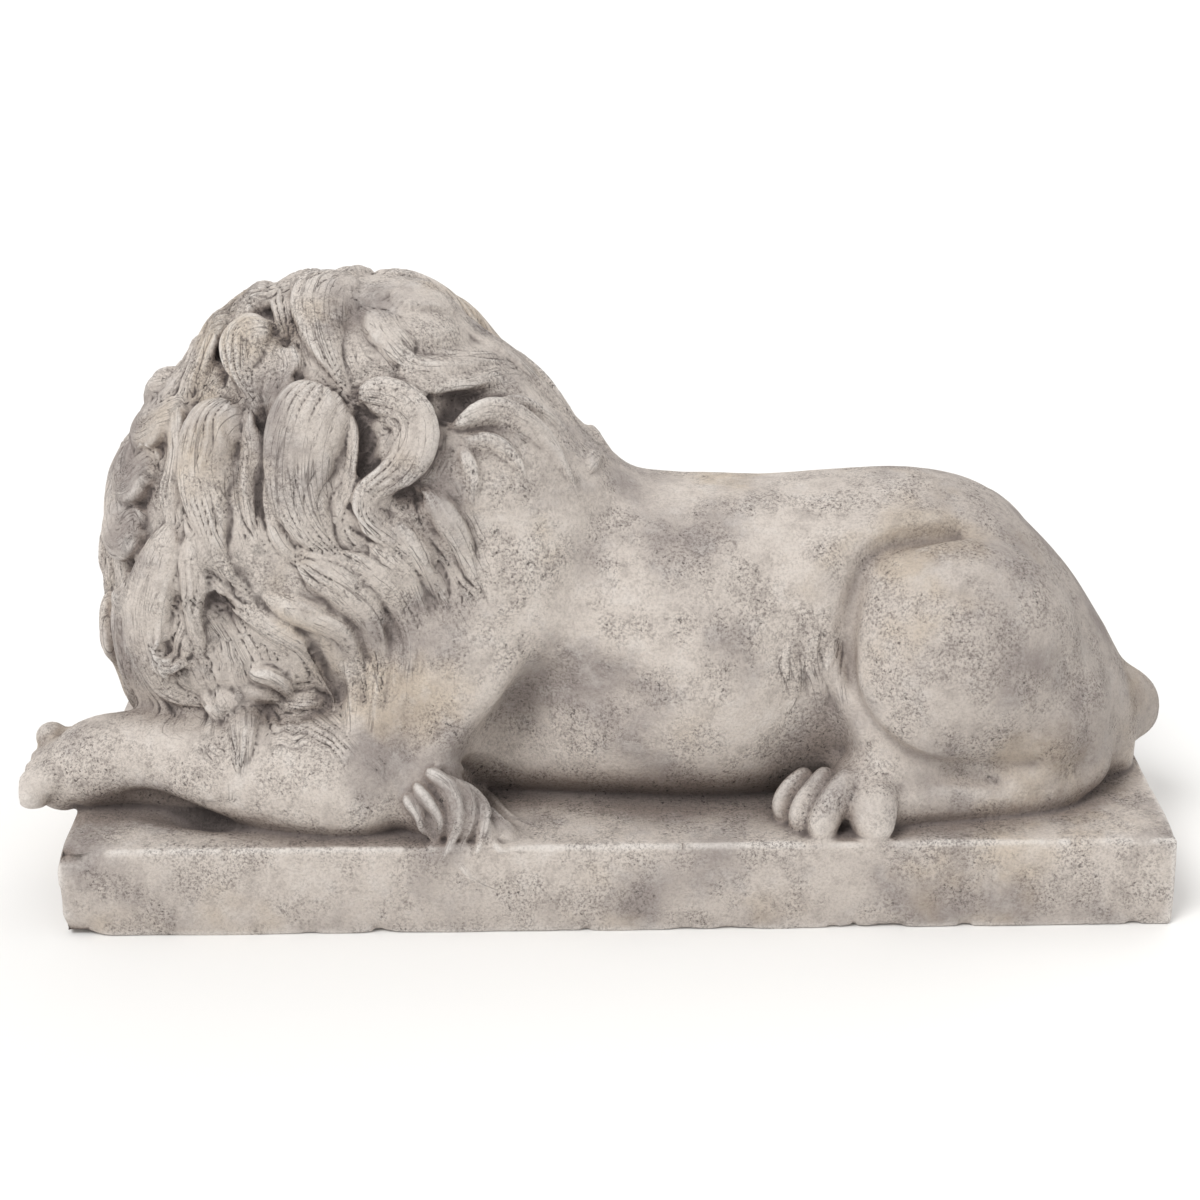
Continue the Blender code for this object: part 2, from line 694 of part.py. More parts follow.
# Hollows and folds of the body, in (x, z) as seen from its side, with radius and depth.
BODY_FOLDS = [
    ([(28.0, 29.6), (21.6, 28.6), (19.2, 25.0), (18.8, 19.0), (22.6, 13.8), (31.0, 10.6)], 1.1, 1.4),
    ([(15.0, 26.8), (18.6, 29.2), (22.0, 30.2), (26.0, 30.4)], 1.5, -0.45),
    ([(-1.0, 18.6), (-6.0, 14.0), (-10.0, 10.6)], 3.4, 1.1),
    ([(-5.0, 24.0), (-9.8, 18.4), (-13.6, 13.8)], 1.5, -0.4),
    ([(13.0, 27.0), (14.5, 20.0), (14.5, 13.0)], 3.0, 0.7),
]


def fold_body(mesh, bed):
    """Presses the body's hollows and raises its folds, on both sides."""
    for places, radius, depth in BODY_FOLDS:
        for side in (NEAR_SIDE, FAR_SIDE):
            carve(mesh, on_side(bed, places, side), radius, depth)


# Lines of the face, in the head's frame, with radius and depth: lip, mouth, nostrils and ears' hollows.
FACE_LINES = [
    ([(0, 17.2, -1.0), (0, 16.9, -2.8), (0, 15.8, -5.0)], 0.5, 0.3),
    ([(0.1, 16.0, -5.0), (2.4, 15.6, -5.9), (4.8, 13.2, -6.2), (6.0, 10.4, -5.4)], 0.6, 1.0),
    ([(1.1, 17.4, -0.4), (1.8, 17.2, 0.1), (2.3, 16.6, 0.2)], 0.5, 0.7),
    ([(10.7, 1.0, 6.2), (10.8, 0.9, 4.8)], 1.2, 1.4),
]


def tree_of(mesh):
    """The mesh's skin, for finding where things rest on it."""
    points, _ = arrays_of(mesh)
    faces = [tuple(face.vertices) for face in mesh.polygons]
    return points, faces, BVHTree.FromPolygons(points.tolist(), faces)


def block_on_grid():
    """The plinth's plain block on the figure's grid."""
    half = np.array([PLINTH_LENGTH, PLINTH_DEPTH, PLINTH_HEIGHT]) / GRID / 2
    corners = np.array([(x, y, z) for x in (-1, 1) for y in (-1, 1) for z in (-1, 1)])
    faces = [(0, 1, 3, 2), (4, 6, 7, 5), (0, 4, 5, 1), (2, 3, 7, 6), (0, 2, 6, 4), (1, 5, 7, 3)]
    return corners * half + np.array([0, 0, BED - half[2]]), faces


def bed_of(forms):
    """One skin of several forms, for laying hair on it."""
    points, faces = [], []
    for form_points, form_faces in forms:
        faces += [tuple(int(corner) + len(points) for corner in face) for face in form_faces]
        points += np.asarray(form_points).tolist()
    return BVHTree.FromPolygons(points, faces)


def lion_mesh():
    """The whole lion on the figure's grid, with no plinth."""
    body = fused(
        "body",
        [
            trunk(),
            mane_mass(),
            *thigh(),
            *map(mirrored, thigh()),
            *hind_foot(),
            *map(mirrored, hind_foot()),
            *foreleg(**NEAR_FORELEG),
            *foreleg(**FAR_FORELEG),
            breast(),
            tail(),
        ],
        BODY_VOXEL,
        30,
    )
    _, _, bed = tree_of(body)
    fold_body(body, bed)
    points, faces, _ = tree_of(body)
    skull = fused("skull", head(), CARVING_VOXEL, 9)
    carve_in_head(skull, HEAD_HOLLOWS)
    skull_points, skull_faces, _ = tree_of(skull)
    bed = bed_of([(points, faces), (skull_points, skull_faces), block_on_grid()])
    forms = [
        (points, faces),
        (skull_points, skull_faces),
        *hind_toes(),
        *map(mirrored, hind_toes()),
        *front_toes(NEAR_FORELEG["paw"], 3.0, 1.5),
        *front_toes(FAR_FORELEG["paw"], 3.0, 0.6),
        ball((-47.8, -3.4, 11.0), (1.35, 1.5, 1.3)),
        *face(),
        *near_hair(bed),
        *far_neck_hair(bed),
        *face_ring_hair(bed),
        *hanging_hair(bed),
        *elbow_hair(bed, NEAR_SIDE),
        *elbow_hair(bed, FAR_SIDE),
        *belly_hair(bed, NEAR_SIDE),
        *belly_hair(bed, FAR_SIDE),
    ]
    lion = outer_skin(fused("lion_on_plinth", forms, CARVING_VOXEL, 2))
    carve_in_head(lion, FACE_LINES)
    part_elbow_hair(lion, NEAR_SIDE)
    part_elbow_hair(lion, FAR_SIDE)
    return lion


def material(name, colour, roughness):
    """A plain surface of one colour."""
    stone = bpy.data.materials.new(name)
    stone.use_nodes = True
    shader = stone.node_tree.nodes["Principled BSDF"]
    shader.inputs["Base Color"].default_value = (*colour, 1)
    shader.inputs["Roughness"].default_value = roughness
    return stone


def plinth_block():
    """The plinth, with its edges worn round."""
    bpy.ops.mesh.primitive_cube_add(size=1, location=(0, 0, PLINTH_HEIGHT / 2))
    block = bpy.context.object
    block.name = "plinth"
    block.scale = (PLINTH_LENGTH, PLINTH_DEPTH, PLINTH_HEIGHT)
    bpy.ops.object.transform_apply(location=True, rotation=False, scale=True)
    wear = block.modifiers.new("worn edges", "BEVEL")
    wear.width = PLINTH_EDGE_WEAR
    wear.segments = 2
    return block


def build():
    """Makes the lion and its plinth, and casts them as one."""
    clay = lion_mesh()
    points, _ = arrays_of(clay)
    points = points * GRID + np.array([0, 0, PLINTH_HEIGHT - BED * GRID])
    clay.vertices.foreach_set("co", points.ravel())
    cast = bpy.data.objects.new("lion_on_plinth", clay)
    bpy.context.scene.collection.objects.link(cast)
    fewer = cast.modifiers.new("fewer faces", "DECIMATE")
    fewer.ratio = LION_TRIANGLES / sum(len(face.vertices) - 2 for face in clay.polygons)
    block = plinth_block()
    join = cast.modifiers.new("cast as one", "BOOLEAN")
    join.operation = "UNION"
    join.object = block
    mesh = outer_skin(evaluated_copy(cast, "lion_on_plinth"))
    bpy.data.objects.remove(block)
    mesh.materials.clear()
    mesh.materials.append(material("cast stone", (0.42, 0.37, 0.33), 0.85))
    mesh.shade_smooth()
    mesh.set_sharp_from_angle(angle=math.radians(50))
    cast = bpy.data.objects.new("lion_on_plinth", mesh)
    bpy.context.scene.collection.objects.link(cast)


for old in list(bpy.data.objects):
    bpy.data.objects.remove(old)
build()
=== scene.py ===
"""The looks of a recumbent garden lion, cast in stone in one piece with its plinth.

The casting is modelled as a sculptor would build it up. Smooth masses are fused into a body and a head.
Locks of hair are laid on them and fused in, and strands are combed into the locks. Then the skin is
carved, chipped and worn, and its hollows, ridges and sheltered places steer where the patina is dark or
pale, and where shade is painted dark into the stone's colour and highlights are painted pale.

The figure is drawn on a grid of its own: each place on it is (x, y, z) in grid parts of about 10 mm, with
the lion's chest to -X, its rump to +X and its face to +Y. BED is the height of the plinth's top there.
"""

from __future__ import annotations

import logging
import math
from dataclasses import dataclass, field
from enum import Enum

import bpy
import numpy as np
from mathutils import Matrix, Vector
from mathutils.bvhtree import BVHTree

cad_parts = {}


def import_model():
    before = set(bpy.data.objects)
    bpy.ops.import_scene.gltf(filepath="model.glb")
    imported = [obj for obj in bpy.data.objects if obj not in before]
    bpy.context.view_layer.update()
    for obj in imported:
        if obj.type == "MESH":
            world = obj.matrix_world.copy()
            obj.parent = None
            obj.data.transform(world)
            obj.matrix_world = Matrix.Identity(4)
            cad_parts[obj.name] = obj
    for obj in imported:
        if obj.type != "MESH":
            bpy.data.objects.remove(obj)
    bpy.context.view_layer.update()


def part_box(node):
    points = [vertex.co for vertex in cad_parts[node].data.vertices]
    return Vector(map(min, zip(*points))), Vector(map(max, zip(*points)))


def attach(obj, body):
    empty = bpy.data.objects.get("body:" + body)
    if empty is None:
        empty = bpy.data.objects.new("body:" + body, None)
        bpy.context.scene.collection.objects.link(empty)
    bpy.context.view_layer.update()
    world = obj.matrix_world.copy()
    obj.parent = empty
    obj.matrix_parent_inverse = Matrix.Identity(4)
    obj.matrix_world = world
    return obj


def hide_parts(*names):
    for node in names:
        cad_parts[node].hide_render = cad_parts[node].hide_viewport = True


log = logging.getLogger("garden lion")

Array = np.ndarray
Form = tuple[Array, Array]
Socket = bpy.types.NodeSocket

NODE = "lion_on_plinth"

UP = np.array([0.0, 0.0, 1.0])
BED = 7.2
FAR_OFF = 60.0
MOST_TRIANGLES = 192_000


class Side(Enum):
    """The two long sides of the lion, as the sign of Y there."""

    NEAR = -1
    FAR = 1


# Shapes worked out on grids of two parameters.


def unit(rows: Array) -> Array:
    """Make each vector one long.

    Args:
        rows: Vectors, one a row.

    Returns:
        The vectors divided by their own lengths.
    """
    return rows / np.maximum(np.linalg.norm(rows, axis=-1, keepdims=True), 1e-9)


def spline(stations: Array, count: int) -> Array:
    """Read a smooth curve through stations.

    Between two stations the Catmull-Rom cubic runs, whose slope at each station is half the step between
    the two stations beside it.

    Args:
        stations: The rows that the curve passes through.
        count: How many rows to read, evenly spaced in the curve's parameter.

    Returns:
        The rows on the curve.
    """
    knots = np.asarray(stations, float)
    knots = np.vstack([2 * knots[0] - knots[1], knots, 2 * knots[-1] - knots[-2]])
    at = np.linspace(0, len(knots) - 3, count)
    first = np.minimum(at.astype(int), len(knots) - 4)
    t = (at - first)[:, None]
    a, b, c, d = (knots[first + k] for k in range(4))
    return b + 0.5 * t * (c - a + t * (2 * a - 5 * b + 4 * c - d + t * (3 * (b - c) + d - a)))


def skin(rings: Array) -> Form:
    """Close rings of points into a skin with a pole at each end, facing outwards.

    Each ring is joined to the next by a band of triangles, and each pole is the mean of its ring. The
    skin is turned round if the volume that it holds, by the sum of its triangles' triple products, is
    negative.

    Args:
        rings: Points as (rings, points around, 3).

    Returns:
        The skin's points and triangles.
    """
    count, around = rings.shape[:2]
    points = np.vstack([rings.reshape(-1, 3), rings[0].mean(0), rings[-1].mean(0)])
    index = np.arange(count * around).reshape(count, around)
    after = np.roll(index, -1, axis=1)
    low, low_after, high, high_after = index[:-1], after[:-1], index[1:], after[1:]
    foot, head = np.full(around, count * around), np.full(around, count * around + 1)
    triangles = np.vstack(
        [
            np.stack([low, low_after, high_after], -1).reshape(-1, 3),
            np.stack([low, high_after, high], -1).reshape(-1, 3),
            np.stack([foot, after[0], index[0]], -1),
            np.stack([head, index[-1], after[-1]], -1),
        ]
    )
    a, b, c = (points[triangles[:, k]] for k in range(3))
    if np.einsum("ij,ij->", a, np.cross(b, c)) < 0:
        triangles = triangles[:, ::-1]
    return points, triangles


def superellipse(around: int, squareness: float) -> tuple[Array, Array]:
    """Read a unit superellipse: cosine and sine of a turn, each raised to 2 / squareness with its sign kept.

    Args:
        around: How many points to read.
        squareness: 2 for a circle, more for a squarer curve.

    Returns:
        The points' places across and upwards.
    """
    turn = np.linspace(0, 2 * math.pi, around, endpoint=False)
    power = 2 / squareness
    across = np.sign(np.cos(turn)) * np.abs(np.cos(turn)) ** power
    upward = np.sign(np.sin(turn)) * np.abs(np.sin(turn)) ** power
    return across, upward


def limb(
    stations: Array, squareness: float = 2.0, rings: int = 30, around: int = 26, rounding: float = 0.16
) -> Form:
    """Sweep an oval along a line.

    At each ring the oval stands square to the line, and near the ends its size follows a quarter circle.

    Args:
        stations: Rows of (x, y, z, half width, half height).
        squareness: 2 for an oval, more for a squarer section.
        rings: How many rings the sweep has.
        around: How many points each ring has.
        rounding: The share of the length over which each end is rounded.

    Returns:
        The closed skin.
    """
    rows = spline(stations, rings)
    line, half = rows[:, :3], rows[:, 3:]
    along = np.linspace(0, 1, rings)
    from_end = np.minimum(np.minimum(along, 1 - along) / rounding, 1)
    half = half * np.sqrt(np.maximum(1 - (1 - from_end) ** 2, 0.0004))[:, None]
    ahead = unit(np.gradient(line, axis=0))
    side = unit(np.cross(ahead, UP))
    lift = np.cross(side, ahead)
    across, upward = superellipse(around, squareness)
    return skin(
        line[:, None]
        + side[:, None] * (half[:, :1] * across)[..., None]
        + lift[:, None] * (half[:, 1:] * upward)[..., None]
    )


def sphere(polar: Array, turn: Array) -> Array:
    """Read the unit sphere: (sin p cos t, sin p sin t, cos p) for the polar angle p and the turn t.

    Args:
        polar: The angles from +Z, as a column.
        turn: The angles about Z, as a row.

    Returns:
        Points as (polar angles, turning angles, 3).
    """
    return np.stack(
        [np.sin(polar) * np.cos(turn), np.sin(polar) * np.sin(turn), np.cos(polar) + 0 * turn], axis=-1
    )


def ball(centre: tuple[float, ...], radii: tuple[float, ...], lean: float = 0.0) -> Form:
    """Make an egg: the unit sphere in polar and turning angles, scaled by three radii and leaned about Y.

    Args:
        centre: Its middle.
        radii: Its half sizes along X, Y and Z before it leans.
        lean: How far it leans about the Y axis, in degrees.

    Returns:
        The closed skin.
    """
    polar = np.linspace(0.06, math.pi - 0.06, 18)[:, None]
    turn = np.linspace(0, 2 * math.pi, 26, endpoint=False)[None]
    shape = sphere(polar, turn) * np.asarray(radii, float)
    angle = math.radians(lean)
    x = shape[..., 0] * math.cos(angle) + shape[..., 2] * math.sin(angle)
    z = shape[..., 2] * math.cos(angle) - shape[..., 0] * math.sin(angle)
    return skin(np.stack([x, shape[..., 1], z], axis=-1) + np.asarray(centre, float))


def loft(stations: Array, squareness: float = 2.3, rings: int = 60, around: int = 52) -> Form:
    """Stretch a skin over cross-sections along X.

    A section is a superellipse for each quarter, widest at 45 parts in 100 of its height, so its
    underside, top and two sides are set apart from each other.

    Args:
        stations: Rows of (x, underside, top, near half width, far half width).
        squareness: 2 for oval sections, more for squarer ones.
        rings: How many sections the skin has.
        around: How many points each section has.

    Returns:
        The closed skin.
    """
    x, low, high, near, far = spline(stations, rings).T[..., None]
    across, upward = superellipse(around, squareness)
    waist = low + (high - low) * 0.45
    y = np.where(across < 0, near, far) * across
    z = waist + np.where(upward > 0, high - waist, waist - low) * upward
    return skin(np.stack([x + 0 * y, y, z], axis=-1))


def mirrored(form: Form) -> Form:
    """Put the same form on the other side of the lion, still facing outwards.

    Args:
        form: The form to mirror in the plane y = 0.

    Returns:
        Its twin.
    """
    points, triangles = form
    return points * np.array([1, -1, 1]), triangles[:, ::-1]


# Noise, for wear that never repeats.


def value_noise(points: Array, size: float, seed: int) -> Array:
    """Read smooth noise: a random value at each corner of a lattice, blended between corners.

    A corner's value is a hash of its whole-number place, and the blend weight is 3w^2 - 2w^3 of the
    distance w across the cell.

    Args:
        points: Where to read it.
        size: The lattice's cell, in the points' own units.
        seed: Which noise to read.

    Returns:
        One value a point, from -1 to 1.
    """
    place = points / size
    corner = np.floor(place).astype(np.int64)
    share = place - corner
    share = share * share * (3 - 2 * share)
    total = np.zeros(len(points))
    for step in np.ndindex(2, 2, 2):
        at = corner + np.array(step)
        mixed = (at[:, 0] * 73856093) ^ (at[:, 1] * 19349663) ^ (at[:, 2] * 83492791) ^ (seed * 2654435761)
        mixed = ((mixed ^ (mixed >> 13)) * 1274126177) & 0xFFFFFF
        weight = np.prod(np.where(np.array(step) == 1, share, 1 - share), axis=1)
        total += weight * (mixed / 0x7FFFFF - 1)
    return total


def layered_noise(points: Array, size: float, layers: int, seed: int) -> Array:
    """Add layers of noise, each half as large in size and strength as the one before.

    Args:
        points: Where to read it.
        size: The first layer's cell.
        layers: How many layers to add.
        seed: Which noise to read.

    Returns:
        One value a point, mostly from -1 to 1.
    """
    shares = 0.5 ** np.arange(layers)
    found = sum(
        share * value_noise(points, size * share, seed + k) for k, share in enumerate(shares)
    )
    return found / math.sqrt(float(np.sum(shares**2)))


# Meshes.


def joined(forms: list[Form]) -> Form:
    """Put forms into one form, still separate skins.

    Args:
        forms: The forms to hold.

    Returns:
        All their points and triangles.
    """
    starts = np.cumsum([0] + [len(points) for points, _ in forms[:-1]])
    points = np.vstack([points for points, _ in forms])
    triangles = np.vstack([found + start for (_, found), start in zip(forms, starts)])
    return points, triangles


def mesh_of(name: str, forms: list[Form]) -> bpy.types.Mesh:
    """Put forms into one mesh.

    Args:
        name: The mesh's name.
        forms: The forms to hold.

    Returns:
        The mesh.
    """
    points, triangles = joined(forms)
    mesh = bpy.data.meshes.new(name)
    mesh.vertices.add(len(points))
    mesh.vertices.foreach_set("co", points.astype(np.float32).ravel())
    mesh.loops.add(3 * len(triangles))
    mesh.loops.foreach_set("vertex_index", triangles.astype(np.int32).ravel())
    mesh.polygons.add(len(triangles))
    mesh.polygons.foreach_set("loop_start", np.arange(0, 3 * len(triangles), 3, dtype=np.int32))
    mesh.update(calc_edges=True)
    return mesh


def object_of(mesh: bpy.types.Mesh) -> bpy.types.Object:
    """Link a mesh into the scene as an object at the origin.

    Args:
        mesh: The mesh, whose name the object takes.

    Returns:
        The object.
    """
    obj = bpy.data.objects.new(mesh.name, mesh)
    bpy.context.scene.collection.objects.link(obj)
    return obj


def evaluated_copy(obj: bpy.types.Object) -> bpy.types.Mesh:
    """Take the mesh that an object's modifiers leave, and remove the object.

    Args:
        obj: The object to read.

    Returns:
        The new mesh.
    """
    bpy.context.view_layer.update()
    graph = bpy.context.evaluated_depsgraph_get()
    mesh = bpy.data.meshes.new_from_object(obj.evaluated_get(graph))
    mesh.name = obj.name
    bpy.data.objects.remove(obj)
    return mesh


def soften(obj: bpy.types.Object, passes: int) -> None:
    """Give an object a modifier that moves each point half way to its neighbours' mean, pass after pass.

    Args:
        obj: The object to smooth.
        passes: How many passes it gets.
    """
    smooth = obj.modifiers.new("soften", "SMOOTH")
    smooth.factor = 0.5
    smooth.iterations = passes


def fused(name: str, forms: list[Form], voxel: float, passes: int) -> bpy.types.Mesh:
    """Fuse forms into one skin, and smooth it.

    Args:
        name: The mesh's name.
        forms: Closed forms that overlap.
        voxel: How fine the fused skin is, in grid parts.
        passes: How many smoothing passes it gets.

    Returns:
        The fused mesh.
    """
    obj = object_of(mesh_of(name, forms))
    remesh = obj.modifiers.new("fuse", "REMESH")
    remesh.mode = "VOXEL"
    remesh.voxel_size = voxel
    soften(obj, passes)
    return evaluated_copy(obj)


def largest_skin(mesh: bpy.types.Mesh) -> bpy.types.Mesh:
    """Keep the largest skin of a mesh, without bubbles inside it or crumbs outside it.

    Args:
        mesh: The mesh, which is used up.

    Returns:
        The mesh of the largest skin.
    """
    obj = object_of(mesh)
    bpy.ops.object.select_all(action="DESELECT")
    obj.select_set(True)
    bpy.context.view_layer.objects.active = obj
    bpy.ops.object.mode_set(mode="EDIT")
    bpy.ops.mesh.select_all(action="SELECT")
    bpy.ops.mesh.separate(type="LOOSE")
    bpy.ops.object.mode_set(mode="OBJECT")
    skins = list(bpy.context.selected_objects)
    kept = max(skins, key=lambda found: len(found.data.vertices))
    mesh = kept.data
    for found in skins:
        bpy.data.objects.remove(found)
    return mesh


def arrays_of(mesh: bpy.types.Mesh) -> tuple[Array, Array]:
    """Read a mesh's points and the normals there.

    Args:
        mesh: The mesh to read.

    Returns:
        Two arrays of one row a point.
    """
    points = np.empty(len(mesh.vertices) * 3, np.float32)
    mesh.vertices.foreach_get("co", points)
    normals = np.empty(len(mesh.vertices) * 3, np.float32)
    mesh.vertex_normals.foreach_get("vector", normals)
    return points.reshape(-1, 3).astype(float), normals.reshape(-1, 3).astype(float)


def form_of(mesh: bpy.types.Mesh) -> Form:
    """Read a mesh as points and triangles.

    Args:
        mesh: The mesh to read.

    Returns:
        The form.
    """
    mesh.calc_loop_triangles()
    triangles = np.empty(len(mesh.loop_triangles) * 3, np.int32)
    mesh.loop_triangles.foreach_get("vertices", triangles)
    return arrays_of(mesh)[0], triangles.reshape(-1, 3)


def set_points(mesh: bpy.types.Mesh, points: Array) -> None:
    """Move a mesh's points.

    Args:
        mesh: The mesh to change.
        points: Where each point goes.
    """
    mesh.vertices.foreach_set("co", points.astype(np.float32).ravel())
    mesh.update()


def write_values(mesh: bpy.types.Mesh, name: str, values: Array) -> None:
    """Keep one value a point with the mesh, for its finish.

    Args:
        mesh: The mesh to write to.
        name: The attribute's name.
        values: The values.
    """
    layer = mesh.attributes.new(name, "FLOAT", "POINT")
    layer.data.foreach_set("value", values.astype(np.float32))


def even_out(rows: Array, passes: int) -> None:
    """Smooth rows in place: each but the end ones becomes a quarter, half and quarter of three.

    Args:
        rows: The rows or values, in order along a line.
        passes: How often to do it.
    """
    for _ in range(passes):
        rows[1:-1] = (rows[:-2] + 2 * rows[1:-1] + rows[2:]) / 4


@dataclass
class Stroke:
    """One pass of a round tool along a line of the skin: a groove, or a ridge where depth is negative."""

    line: Array
    radius: float
    depth: float
    taper: bool = False

    def press(self, points: Array, normals: Array) -> None:
        """Move the points near the line along their normals.

        A point at the distance d moves by depth * exp(-d^2 / radius^2), and where the stroke tapers, by
        that times the sine of its share of the way along the line.

        Args:
            points: All of the skin's points, changed in place.
            normals: The skin's normals.
        """
        path = spline(self.line, 6 * len(self.line))
        reach = 3 * self.radius
        near = np.nonzero(np.all((points > path.min(0) - reach) & (points < path.max(0) + reach), axis=1))[0]
        if not len(near):
            return
        here = points[near]
        nearest, share_along = np.full(len(near), 1e9), np.zeros(len(near))
        for k, (start, end) in enumerate(zip(path[:-1], path[1:])):
            step = end - start
            share = np.clip((here - start) @ step / max(step @ step, 1e-9), 0, 1)
            gap = here - start - share[:, None] * step
            squared = np.einsum("ij,ij->i", gap, gap)
            closer = squared < nearest
            nearest[closer] = squared[closer]
            share_along[closer] = (k + share[closer]) / (len(path) - 1)
        move = self.depth * np.exp(-nearest / self.radius**2)
        if self.taper:
            move = move * np.sin(math.pi * np.clip(share_along, 0.02, 0.98)) ** 0.6
        points[near] = here - normals[near] * move[:, None]


def carve(mesh: bpy.types.Mesh, strokes: list[Stroke]) -> None:
    """Work strokes into a mesh one after the other.

    Args:
        mesh: The mesh to change.
        strokes: The strokes, in order.
    """
    points, normals = arrays_of(mesh)
    for stroke in strokes:
        stroke.press(points, normals)
    set_points(mesh, points)


class Bed:
    """A finished skin that hair and folds are laid on."""

    def __init__(self, forms: list[Form], middle: float) -> None:
        """Index the skin.

        Args:
            forms: The forms whose skins carry the hair.
            middle: X of the upright line through the middle of the mane.
        """
        points, triangles = joined(forms)
        self.tree = BVHTree.FromPolygons(points.tolist(), triangles.tolist())
        self.middle = middle

    def nearest(self, place: Array) -> tuple[Vector, Vector]:
        """Find the skin's point nearest to a place, and the skin's normal there."""
        found = self.tree.find_nearest(Vector(place))
        return found[0], found[1]

    def fitted(self, points: Array) -> tuple[Array, Array]:
        """Lay a line of points on the skin, bridging its sharp dips.

        Args:
            points: The line's points, near the skin.

        Returns:
            Where they rest and the way that the skin faces there, both evened out along the line.
        """
        found = [self.nearest(point) for point in points]
        seats = np.array([seat for seat, _ in found])
        out = np.array([normal for _, normal in found])
        for rows in (seats, out):
            even_out(rows, 4)
        return seats, unit(out)

    def on_side(self, places: Array, side: Side) -> Array:
        """Find the skin where (x, z) places are seen square from one side.

        Args:
            places: Rows of (x, z).
            side: The side to look from.

        Returns:
            Rows of (x, y, z).
        """
        sign = side.value
        found = []
        for x, z in places:
            hit = self.tree.ray_cast(Vector((x, FAR_OFF * sign, z)), Vector((0, -sign, 0)))[0]
            found.append(tuple(hit or self.nearest((x, 0, z))[0]))
        return np.array(found)

    def along_ray(self, start: Array, direction: Array) -> Array:
        """Find where a line of sight meets the skin, or the skin nearest to where it passes the middle.

        Args:
            start: Where the line of sight starts.
            direction: The way that it runs, one long.

        Returns:
            The point on the skin.
        """
        hit = self.tree.ray_cast(Vector(start), Vector(direction))[0]
        if hit is not None:
            return np.array(hit)
        passing = start + direction * (-start[1] / direction[1])
        return np.array(self.nearest(passing)[0])

    def around_mane(self, angle: float, z: float) -> Array:
        """Find the skin at a height, seen from an angle about the middle of the mane.

        Args:
            angle: The angle from +X towards +Y, in radians.
            z: The height.

        Returns:
            The point on the skin.
        """
        outwards = Vector((math.cos(angle), math.sin(angle), 0))
        middle = Vector((self.middle, 0, z))
        hit = self.tree.ray_cast(middle + outwards * FAR_OFF, -outwards)[0]
        return np.array(hit or self.nearest(middle)[0])


@dataclass(frozen=True)
class Lens:
    """The camera that the casting is seen through, fitted to the reference view."""

    location: tuple[float, float, float] = (-0.01107, -2.00101, 0.94894)
    pitch: float = 20.0
    roll: float = -0.65
    focal_px: float = 2511.0
    frame_px: float = 1200.0
    sensor: float = 36.0

    def axes(self) -> tuple[Array, Array, Array]:
        """Work out the camera's own right, up and forward ways from its pitch and roll.

        Returns:
            The three ways, each one long.
        """
        pitch, roll = math.radians(self.pitch), math.radians(self.roll)
        forward = np.array([0, math.cos(pitch), -math.sin(pitch)])
        upward = np.array([0, math.sin(pitch), math.cos(pitch)])
        across = np.array([1.0, 0, 0])
        right = across * math.cos(roll) + upward * math.sin(roll)
        up = upward * math.cos(roll) - across * math.sin(roll)
        return right, up, forward

    def sight(self, pixel: tuple[float, float]) -> Array:
        """Find the line of sight through a pixel of the frame.

        Args:
            pixel: Its place from the frame's top left corner.

        Returns:
            The way that the line runs, one long.
        """
        right, up, forward = self.axes()
        middle = self.frame_px / 2
        across, upward = (pixel[0] - middle) / self.focal_px, (middle - pixel[1]) / self.focal_px
        return unit(forward + right * across + up * upward)

    def matrix(self) -> Matrix:
        """Give the camera's place and turn as one matrix.

        Returns:
            The matrix, from the camera's own axes to the world.
        """
        right, up, forward = self.axes()
        columns = np.column_stack([right, up, -forward, np.array(self.location)])
        return Matrix([*columns.tolist(), [0, 0, 0, 1]])


@dataclass(frozen=True)
class Grid:
    """The figure's grid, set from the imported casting's box."""

    part: float
    plinth_height: float = 0.077
    plinth_length: float = 0.900
    plinth_depth: float = 0.360
    parts_long: float = 96.41

    @classmethod
    def in_box(cls, low: Vector, high: Vector) -> Grid:
        """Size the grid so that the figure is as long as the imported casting."""
        return cls((high.x - low.x) / cls.parts_long)

    def lift(self) -> Array:
        """Give the step from the grid's ground to the real ground, in metres."""
        return np.array([0, 0, self.plinth_height - BED * self.part])

    def metres(self, points: Array) -> Array:
        """Turn grid places into metres."""
        return points * self.part + self.lift()

    def parts(self, points: Array) -> Array:
        """Turn metres into grid places."""
        return (np.asarray(points) - self.lift()) / self.part


# The body.


